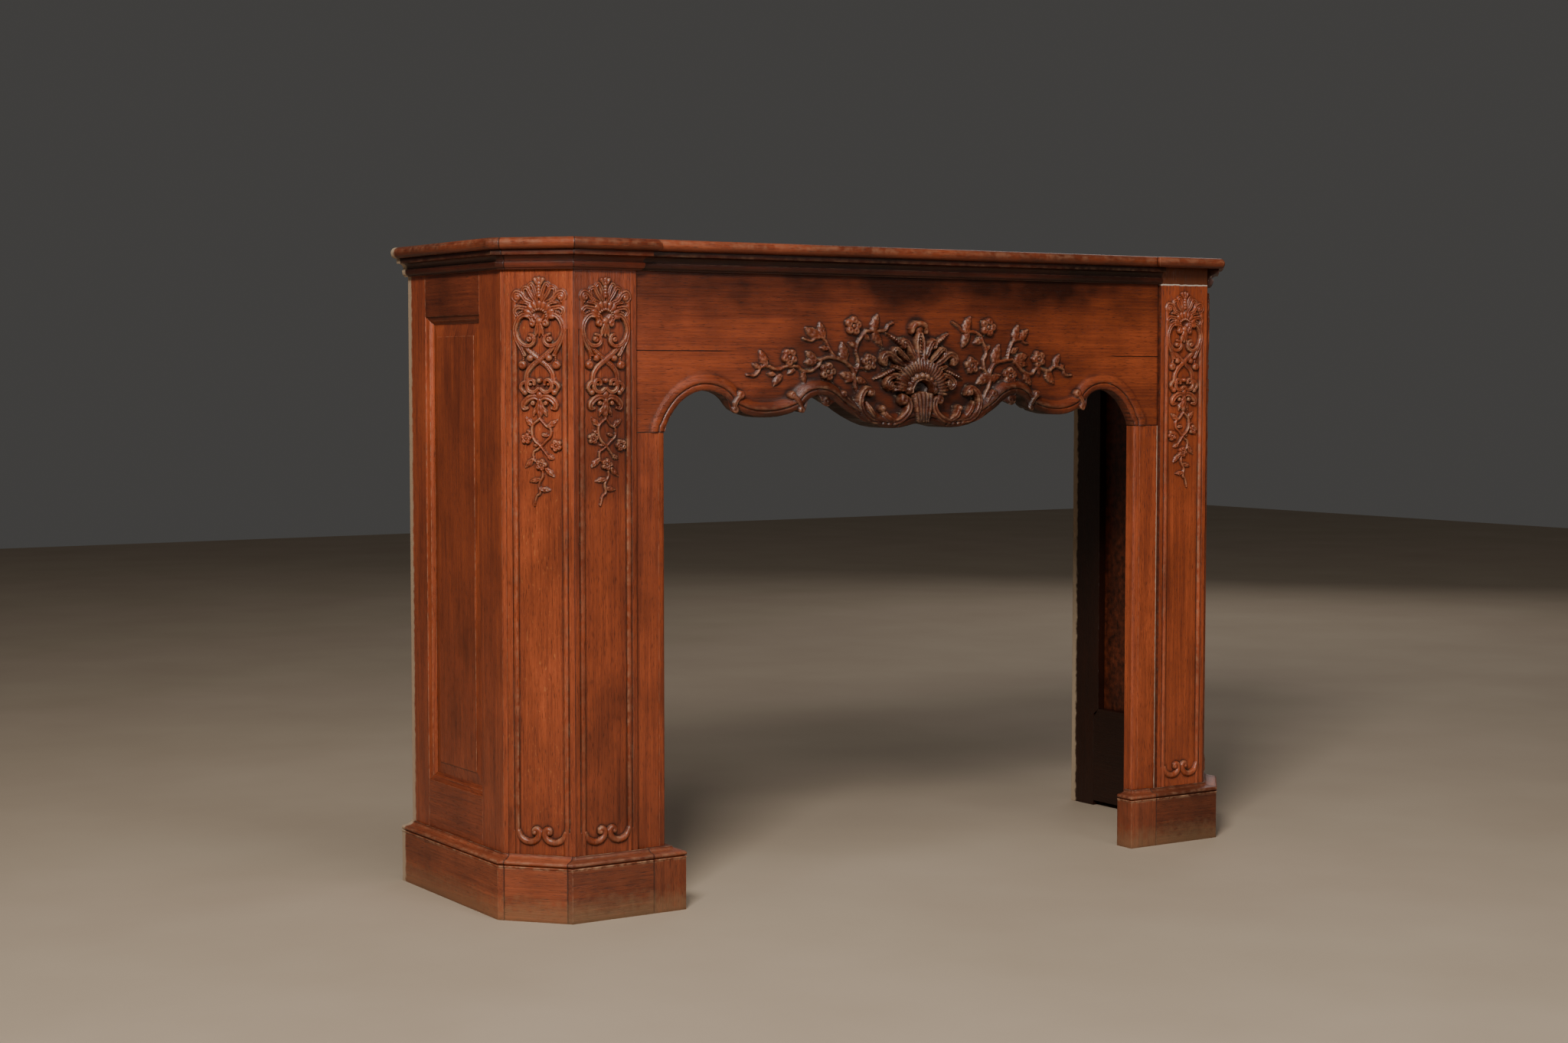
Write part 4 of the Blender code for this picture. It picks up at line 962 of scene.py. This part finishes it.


# %% The four pilasters
# Carved oak: the same stain, glossier on the crests and nearly black in the cuts, from dirt and painted
# shade.
CARVED = {"light": "#a8522f", "dark": "#5c281a", "rough": 0.31, "wear_and_highlight_strength": 0.6}
carved_up = oak("carved_stained_oak_upright", UPRIGHT, **CARVED)
flecked_up = oak("carved_stained_oak_flecked", UPRIGHT, flecks=0.35, **CARVED)
# Over the right front pilaster the bed moulding is lost: the bare wood there is painted dark brown, partly
# as painted shade under the shelf, with a line of plaster at its foot.
bare_band_in_painted_shade = ("#56321f", 0.85, 3.0, (("Z", CORNICE_Z - 0.0005, CORNICE_Z + 0.0006),))
plaster_line = ("#cfc6b8", 0.9, 3.5, (("Z", CORNICE_Z - 0.0021, CORNICE_Z - 0.0012),
                                      ("Z", CORNICE_Z + 0.0010, CORNICE_Z + 0.0002)))
bare_head_in_painted_shade_up = oak("carved_stained_oak_bare_head_in_painted_shade", UPRIGHT, marks=(bare_band_in_painted_shade, plaster_line), **CARVED)
row_heights = np.concatenate([[0, 60],
                              np.arange(100, 168, 1.2),
                              np.arange(170, 655, 22),
                              np.arange(660, 1044, 0.95),
                              [1044.5, 1047, 1052, 1066, (SHELF_Z - GAP) / MM]])
CARVING_LIFT = 1.2


def make_pilaster(node, width, lean_left, lean_right, place, hand, material, tone):
    """Cuts one pilaster in its own space and sets it in its place."""
    half = width / 2 / MM
    line = np.linspace(-half, half, 126)
    s, z = np.meshgrid(line, row_heights)
    relief = Relief(s, z, ground=-SUNK / MM)
    frame_bead(relief)
    trophy(relief, hand)
    relief.h[relief.h > 0] *= CARVING_LIFT
    rim = np.abs(s) > half - 0.1
    relief.h[rim] = np.minimum(relief.h[rim], -0.35)
    grimy_rim = 0.75 * rim

    def to_space(across, up, height):
        return place @ Vector((across * MM, -height * MM, up * MM))

    def draw_back(co):
        local = place.inverted() @ co
        lean = lean_left if local.x < 0 else -lean_right
        share = abs(local.x) / (half * MM)
        return place @ Vector((local.x + lean * share, PILASTER_T, local.z))

    carved_board(node, s, z, relief.h, to_space, draw_back, material, tone, grimy_rim)


lean = PILASTER_T * math.tan(CANT_ANGLE / 2)
front_w, cant_w = PILASTER_W - GAP, CANT_LENGTH - STILE_LAP - 2 * GAP
cant_middle = on_cant(0, GAP + cant_w / 2)
for side, label, woods, tones in ((-1, "left", (carved_up, flecked_up), (-0.12, 0.08)),
                                  (1, "right", (bare_head_in_painted_shade_up, carved_up), (0.25, 0.12))):
    front_place = Matrix.Translation((side * (PILASTER_IN + GAP / 2 + front_w / 2), FACE_Y, 0))
    edges = (0, lean) if side > 0 else (lean, 0)
    make_pilaster("pilaster_front_" + label, front_w, *edges, front_place, side, woods[0], tones[0])
    cant_place = (Matrix.Translation((side * cant_middle.x, cant_middle.y, 0))
                  @ Matrix.Rotation(side * CANT_ANGLE, 4, 'Z'))
    make_pilaster("pilaster_cant_" + label, cant_w, *edges[::-1], cant_place, side, woods[1], tones[1])

# %% [markdown]
# ## Frieze
# One wide board, glued from two, spans the opening. Its lower edge runs in four arches with a roll worked
# along it, and the middle of the board swells forward. In the centre sit a shell over a fluted tongue and
# two acanthus scrolls; from each scroll a branch with four open flowers climbs outwards. The glue line has
# opened into a crack at both ends.

# %% Lower edge, swell and roll
SPRING = SPRING_Z / MM
SCALLOP = [(0, 10), (18, 9.5), (30, 6.5), (45, 3.5), (62, 2.5), (80, 3.5), (100, 7), (118, 13), (140, 23),
           (158, 33), (170, 41), (180, 49), (191, 55.5), (203, 59), (216, 59), (228, 55), (237, 47.5),
           (243, 40), (251, 35), (262, 31), (275, 27.5), (290, 24.5), (305, 23.2), (320, 23), (335, 24.5),
           (349, 27.8), (361, 32), (371, 37), (378, 44), (385, 53), (395, 61), (407, 66), (420, 68.5),
           (434, 68.5), (448, 65), (462, 58), (475, 48), (486, 35), (494, 23), (500, 10), (503.5, 0)]
SWELL, SWELL_HALF, SWELL_FADE = 9.5, 420.0, 190.0
FLARE, FLARE_FROM = 14.0, 200.0
CURLS = ((372, 36, 7.0), (246, 35, 7.0), (198, 50, 8.5))
# Where the roll's ends and a leaf hang below that line, the outline dips: these points take its place
# there.
HANGING = (((186, 47), (190, 43.5), (195, 41.2), (200, 41), (205, 43.4), (208.5, 48), (209.8, 54),
            (212, 59.6)),
           ((230, 54), (233.5, 50), (235.5, 45), (237, 39.5), (239.2, 34.6), (242.6, 31.2), (247, 30.0),
            (251, 31.4), (254, 34.6), (257, 35), (261, 32.2)),
           ((357, 31), (361, 34.6), (364.5, 35.8), (367, 33.6), (370, 31), (373.4, 30), (377, 31.2),
            (380, 34.2), (382, 38.6), (383, 44), (385, 52)))
edge_s, edge_z = (np.array(values, float) for values in zip(*SCALLOP))
outline = list(SCALLOP)
for dip in HANGING:
    outline = [p for p in outline if not dip[0][0] - 1 < p[0] < dip[-1][0] + 1] + list(dip)
hang_s, hang_z = (np.array(values, float) for values in zip(*sorted(outline)))


def foot(s):
    """Height of the lower edge above the springing, with the curls that hang below it."""
    return np.where(np.abs(s) >= edge_s[-1], 0.0, np.interp(np.abs(s), hang_s, hang_z))


def swell(s, z):
    """How far the ground stands forward."""
    across = np.clip(1 - (s / SWELL_HALF) ** 2, 0, None) ** 2
    return SWELL * across * np.clip((CORNICE_Z / MM - z) / SWELL_FADE, 0, 1)


def edge_distance(s, z):
    """Distance of every point from the lower edge and its run down the jambs."""
    right = list(zip(edge_s, edge_z)) + [(edge_s[-1], -60.0)]
    line = flowing([(-x, up) for x, up in right[:0:-1]] + right, step=2.0)
    distance = np.full(s.shape, 99.0)
    for first in range(0, s.shape[1], 24):
        block_s, block_z = s[:, first:first + 24], z[:, first:first + 24] - SPRING
        low = max(0, np.searchsorted(line[:, 0], block_s.min() - 36) - 40)
        high = np.searchsorted(line[:, 0], block_s.max() + 36) + 40
        near = line[low:high]
        gap = np.hypot(block_s[..., None] - near[:, 0], block_z[..., None] - near[:, 1])
        distance[:, first:first + 24] = gap.min(-1) if len(near) else 99.0
    return distance


def worked_edge(s, z):
    """Roll, incised line and soft border along the lower edge, over the flare that carries them."""
    r = edge_distance(s, z)
    flare = FLARE * np.clip((edge_s[-1] - np.abs(s)) / (edge_s[-1] - FLARE_FROM), 0, 1)
    fall = np.clip((31 - r) / 19, 0, 1)
    height = flare * fall * fall * (3 - 2 * fall)
    height -= 4.0 * (1 - np.sqrt(np.clip(1 - np.clip(1 - r / 9, 0, 1) ** 2, 0, 1)))
    height -= 2.0 * np.exp(-((r - 10.6) / 1.1) ** 2)
    return height + 1.8 * np.exp(-((r - 19) / 6.5) ** 4)


print("edge", round(float(foot(np.array([0.0]))[0]), 1), "mm up in the middle")


# %% Shell, tongue and acanthus
def shell(relief):
    """The palmette over the middle of the opening, with its lobes, rods and bored eye."""
    for side in (1, -1):
        relief.face(side, SPRING)
        for path, width in (([(9, 118), (17, 134), (26, 150), (34, 152), (33, 143)], 11.5),
                            ([(20, 114), (34, 127), (48, 139), (55, 136), (53, 129)], 9.5),
                            ([(28, 108), (46, 118), (62, 129), (75, 128), (79, 119), (73, 113)], 12),
                            ([(30, 100), (43, 105), (56, 109)], 9),
                            ([(36, 93), (52, 93), (67, 88), (73, 79), (66, 71), (58, 74)], 10),
                            ([(33, 84), (45, 77), (56, 68)], 8.5)):
            relief.stem(path, width, 15, ends=(0.6, 0.75), channel=3.6)
        relief.knob(75, 120, 8, 14, eye=3)
        relief.knob(62, 79, 6, 14, eye=4)
        relief.stem([(28, 140), (46, 154), (66, 166)], 7, 9.5, beads=5.5)
        relief.stem([(52, 104), (72, 96), (94, 87)], 7, 9.5, beads=5.5)
        relief.knob(27, 66, 6.5, 19, eye=3)
        relief.leaf((24, 55), (17, 22), 13, 16, 2)
        relief.stem([(4, 114), (6.5, 135), (7, 152), (3, 166)], 7, 15.5, ends=(0.9, 0.9))
        relief.leaf((9, 116), (15, 146), 10, 14, 1)
    relief.face(up=SPRING)
    relief.stem([(0, 114), (0, 168)], 5, 15, ends=(1, 1), beads=5.5)
    relief.stem([(-15, 168), (-14, 177), (-6, 182.5), (6, 182.5),
                 (14, 177), (15, 168)], 11, 17, ends=(0.6, 0.6), channel=1.5)
    relief.knob(0, 174, 9, 12.5)
    relief.fan(0, 66, 24, 57, -10, 190, 27, 17, depth=0.16)
    relief.fan(0, 65, 20, 33, -4, 184, 9, 19.5, depth=0.14)
    relief.stem([(23 * math.cos(a), 64 + 22 * math.sin(a)) for a in np.linspace(0, math.pi, 9)], 5, 19.5,
                ends=(1, 1))
    relief.knob(0, 64, 19, 8)
    relief.bore(0, 70, 16, 7)


def tongue(relief):
    """The fluted tongue under the shell, broad above and scalloped below."""
    spots = relief.near((0, SPRING + 38), (0, SPRING + 38), 32)
    s, z = relief.s[spots], relief.z[spots] - SPRING
    t = np.clip((z - 11) / 53, 0, 1)
    half = 12.5 + 10 * t
    ribs = np.abs(np.sin(np.pi * 2.5 * (s / half + 1)))
    inside = (np.abs(s) < half) & (z > 11 + 2.5 * (1 - ribs)) & (z < 65 - 4 * (s / half) ** 2)
    relief.lift(spots, inside, 16.5 + 2.5 * ribs ** 0.7 + 1.5 * np.sin(np.pi * t))


def acanthus(relief):
    """Scroll, big curl and tongues from the middle outwards along the lower edge."""
    for side in (1, -1):
        relief.face(side, SPRING)
        relief.stem([(150, 52), (166, 58), (184, 61), (197, 56), (201, 49)], 10, 13, ends=(0.8, 0.9),
                    channel=2)
        relief.stem([(104, 13), (128, 22), (142, 35), (153, 51), (161, 60)], 15, 15, ends=(0.8, 0.6),
                    channel=3)
        relief.stem([(104, 17), (118, 27), (133, 40)], 12, 17, ends=(0.7, 0.5), channel=2.4)
        relief.stem([(96, 19), (108, 34), (115, 47)], 11, 18, ends=(0.7, 0.5), channel=2.4)
        relief.stem([(88, 13), (106, 16), (121, 28), (128, 46), (124, 62), (113, 71), (102, 67), (101, 60)],
                    13, 17.5, ends=(0.9, 0.55), channel=3)
        relief.knob(107, 63, 6.5, 18, eye=4)
        relief.stem([(62, 16), (75, 23), (82, 35)], 12, 19.5, ends=(0.9, 0.7), channel=2.6)
        relief.knob(82, 36, 6.5, 19)
        relief.stem([(40, 57), (29, 50), (27, 37), (36, 23), (52, 14), (72, 12), (90, 15)], 15, 18.5,
                    ends=(0.8, 0.8), channel=3.2)
        relief.knob(38, 51, 9.5, 20, eye=5)
        for k in range(4):
            relief.bore(52 + 11 * k, 8 + 1.2 * k, 2.6, 3)
        relief.knob(161, 61, 7.5, 16, eye=4)
        relief.stem([(261, 59), (252, 50), (246, 41), (245, 35)], 9, 16, ends=(0.9, 0.8), channel=2)
        relief.knob(262, 60, 7.5, 15, eye=4)
        relief.stem([(361, 60), (369, 52), (373, 44), (372, 37)], 9, 11, ends=(0.9, 0.8), channel=2)
        relief.knob(361, 61, 7.5, 12, eye=4)
        for middle, up, radius in CURLS:
            relief.knob(middle, up, radius * 1.03, 17 if middle < 300 else 11, eye=3)


# %% Flowering branches
# Places in mm from the centre line and above the springing; the two sides were carved by eye and differ.
LEFT_STEMS = (([(-126, 56), (-130, 68), (-133, 78), (-135, 93), (-137, 103), (-147, 113), (-157, 119),
                (-171, 123), (-186, 124), (-198, 121), (-211, 118)], 7.0),
              ([(-202, 118), (-205, 111), (-211, 106), (-220, 101), (-233, 100), (-241, 103), (-247, 108),
                (-272, 108), (-282, 104), (-293, 104), (-303, 108), (-313, 109), (-321, 106), (-325, 99),
                (-333, 93), (-346, 94)], 5.6),
              ([(-170, 123), (-180, 133), (-187, 145), (-192, 153), (-201, 158), (-211, 157), (-219, 152),
                (-229, 153), (-236, 156)], 5.2),
              ([(-135, 93), (-129, 103), (-125, 113), (-127, 125), (-130, 133), (-128, 143), (-123, 153),
                (-114, 163), (-108, 169), (-96, 170), (-71, 170), (-64, 175), (-61, 180), (-50, 184)],
               5.6),
              ([(-132, 105), (-115, 106)], 4.5))
LEFT_LEAVES = (((-211, 118), (-231, 135)), ((-211, 116), (-234, 115)), ((-322, 106), (-336, 113)),
               ((-309, 110), (-321, 136)), ((-292, 95), (-308, 96)), ((-280, 95), (-295, 76)),
               ((-254, 104), (-266, 96)), ((-237, 99), (-234, 78)), ((-187, 138), (-203, 141)),
               ((-203, 157), (-232, 174)), ((-195, 155), (-202, 184)), ((-152, 117), (-157, 151)),
               ((-126, 143), (-145, 149)), ((-93, 170), (-82, 199)), ((-112, 164), (-100, 154)),
               ((-93, 168), (-75, 144)), ((-136, 90), (-164, 96)), ((-135, 90), (-152, 82)),
               ((-131, 88), (-108, 79)))
LEFT_FLOWERS = ((-264, 124, 15, 50), (-188, 100, 15.5, 0), (-134, 178, 16.5, 10), (-103, 116, 15, 30))
RIGHT_STEMS = (([(143, 48), (149, 63), (155, 73), (158, 85), (158, 97), (165, 110), (173, 116), (188, 119),
                 (200, 121), (211, 121), (216, 116)], 7.0),
               ([(214, 118), (226, 108), (234, 101), (247, 96), (257, 97), (264, 105), (274, 106),
                 (283, 103), (296, 102), (304, 107), (311, 110), (321, 108), (330, 104), (331, 99),
                 (337, 94), (349, 94)], 5.6),
               ([(199, 121), (202, 133), (207, 145), (212, 153), (222, 157), (232, 157), (238, 152),
                 (246, 151)], 5.2),
               ([(156, 90), (147, 103), (144, 118), (150, 131), (149, 143), (143, 153), (141, 161),
                 (134, 166), (124, 170), (101, 170), (93, 177), (88, 181), (76, 187)], 5.6),
               ([(138, 106), (151, 101)], 4.5))
RIGHT_LEAVES = (((216, 119), (247, 130)), ((216, 117), (245, 112)), ((309, 110), (321, 132)),
                ((320, 106), (333, 113)), ((288, 103), (308, 77)), ((270, 105), (274, 92)),
                ((238, 100), (253, 75)), ((206, 133), (225, 143)), ((216, 154), (225, 184)),
                ((228, 157), (248, 176)), ((168, 114), (181, 149)), ((158, 85), (183, 94)),
                ((157, 93), (127, 78)), ((104, 169), (117, 197)), ((112, 168), (98, 142)),
                ((144, 156), (122, 150)), ((149, 137), (161, 147)))
RIGHT_FLOWERS = ((271, 123, 15, 40), (204, 93, 15.5, 15), (156, 179, 16.5, 0), (117, 111, 15, 25))


def branches(relief):
    """Stems first, then the leaves and flowers that stand over them."""
    relief.face(up=SPRING)
    for stems, leaves, flowers in ((LEFT_STEMS, LEFT_LEAVES, LEFT_FLOWERS),
                                   (RIGHT_STEMS, RIGHT_LEAVES, RIGHT_FLOWERS)):
        for path, width in stems:
            relief.stem(path, width, 4.2 + width * 0.2, ends=(1, 0.7))
        for (s0, z0), (s1, z1) in leaves:
            length = math.hypot(s1 - s0, z1 - z0)
            relief.leaf((s0, z0), (s1, z1), max(9, 0.58 * length), 6.2, 2 if length < 22 else 3)
        for s, z, radius, turn in flowers:
            relief.flower(s, z, radius, turn, 8.5)


# %% The frieze board
left_end, right_end = (-PILASTER_IN + GAP) / MM, (PILASTER_IN - FRIEZE_SLACK) / MM
columns = np.concatenate([np.linspace(left_end, -519, 11), np.arange(-517.8, -486, 1.25),
                          np.arange(-485, -385, 2.4), np.arange(-384, 384.1, 1.6),
                          np.arange(386, 486, 2.4), np.arange(486.6, 518, 1.25),
                          np.linspace(519, right_end, 11)])
base = foot(columns) + SPRING
calm = np.array([foot(middle + np.linspace(-22, 22, 23)).mean() for middle in columns]) + SPRING + 30
CARVED_TOP = 991.0
steps = np.concatenate([np.linspace(0, 1, 25), 1 + np.linspace(0, 1, 92)[1:], 2 + np.linspace(0, 1, 8)[1:]])
low_part = base[None, :] + (calm - base)[None, :] * np.clip(steps, 0, 1)[:, None]
mid_part = (CARVED_TOP - calm[None, :]) * np.clip(steps - 1, 0, 1)[:, None]
top_part = ((SHELF_Z - GAP) / MM - CARVED_TOP) * np.clip(steps - 2, 0, 1)[:, None]
frieze_z = low_part + mid_part + top_part
frieze_s = np.repeat(columns[None, :], len(steps), axis=0)
frieze_relief = Relief(frieze_s, frieze_z)
frieze_relief.h = worked_edge(frieze_s, frieze_z)
branches(frieze_relief)
acanthus(frieze_relief)
shell(frieze_relief)
tongue(frieze_relief)


def frieze_place(s, z, h):
    """A point of the frieze's front, over the swelling ground."""
    return Vector((s * MM, FRIEZE_Y - (float(swell(s, z)) + h) * MM, z * MM))


def frieze_back(co):
    """The same point on the back of the board, where the curls don't hang below the edge."""
    edge = float(np.interp(abs(co.x) / MM, edge_s, edge_z, right=0.0)) + SPRING
    return Vector((co.x, FRIEZE_Y + BOARD_T, max(co.z, edge * MM)))


# Smoke and painted shade darken the lower edge in the middle and the ground round the carving, and a
# painted shadow of the shelf darkens the top of the board.
edge_gap = edge_distance(frieze_s, frieze_z)
toward_middle = np.clip(1.35 - np.abs(frieze_s) / 420, 0, 1)
smoke_and_painted_shade = 0.9 * np.exp(-(edge_gap / 14) ** 2) * toward_middle
smoke_and_painted_shade += 0.85 * np.exp(-((frieze_s / 310) ** 4) - ((frieze_z - SPRING - 85) / 90) ** 4)
smoke_and_painted_shade += (1.15 * np.clip((frieze_z - SPRING - 165) / 80, 0, 1)
          * (0.45 + 0.55 * np.exp(-((frieze_s - 60) / 360) ** 4)))
smoke_and_painted_shade = 0.68 * np.clip(smoke_and_painted_shade, 0, 1)
grimy_rim = np.zeros_like(smoke_and_painted_shade)
grimy_rim[:2, np.abs(columns) > 503] = 1.0
grimy_rim[:, -1] = grimy_rim[:, 0] = 0.8
# The glue line stands open as a dark crack at each end.
split_left = ("#120704", 0.9, 1.6, (("Z", 0.9199, 0.9204), ("Z", 0.9223, 0.9218), ("X", -0.36, -0.40)))
split_right = ("#120704", 0.9, 1.6, (("Z", 0.9148, 0.9153), ("Z", 0.9171, 0.9166), ("X", 0.43, 0.46)))
carved_front = oak("carved_stained_oak_along_front", ALONG_FRONT, marks=(split_left, split_right), dirt_and_shade_strength=1.0,
                   **{**CARVED, "wear_and_highlight_strength": 0.42})
print("frieze sheet", frieze_s.shape, "points")
carved_board("frieze", frieze_s, frieze_z, frieze_relief.h, frieze_place, frieze_back, carved_front, -0.04,
             grimy_rim, smoke_and_painted_shade)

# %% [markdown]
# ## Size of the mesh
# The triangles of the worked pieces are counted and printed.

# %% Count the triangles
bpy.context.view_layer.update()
triangles = sum(len(p.vertices) - 2 for o in bpy.data.objects if o.name.startswith("worked_")
                for p in o.data.polygons)
print("triangles", triangles)
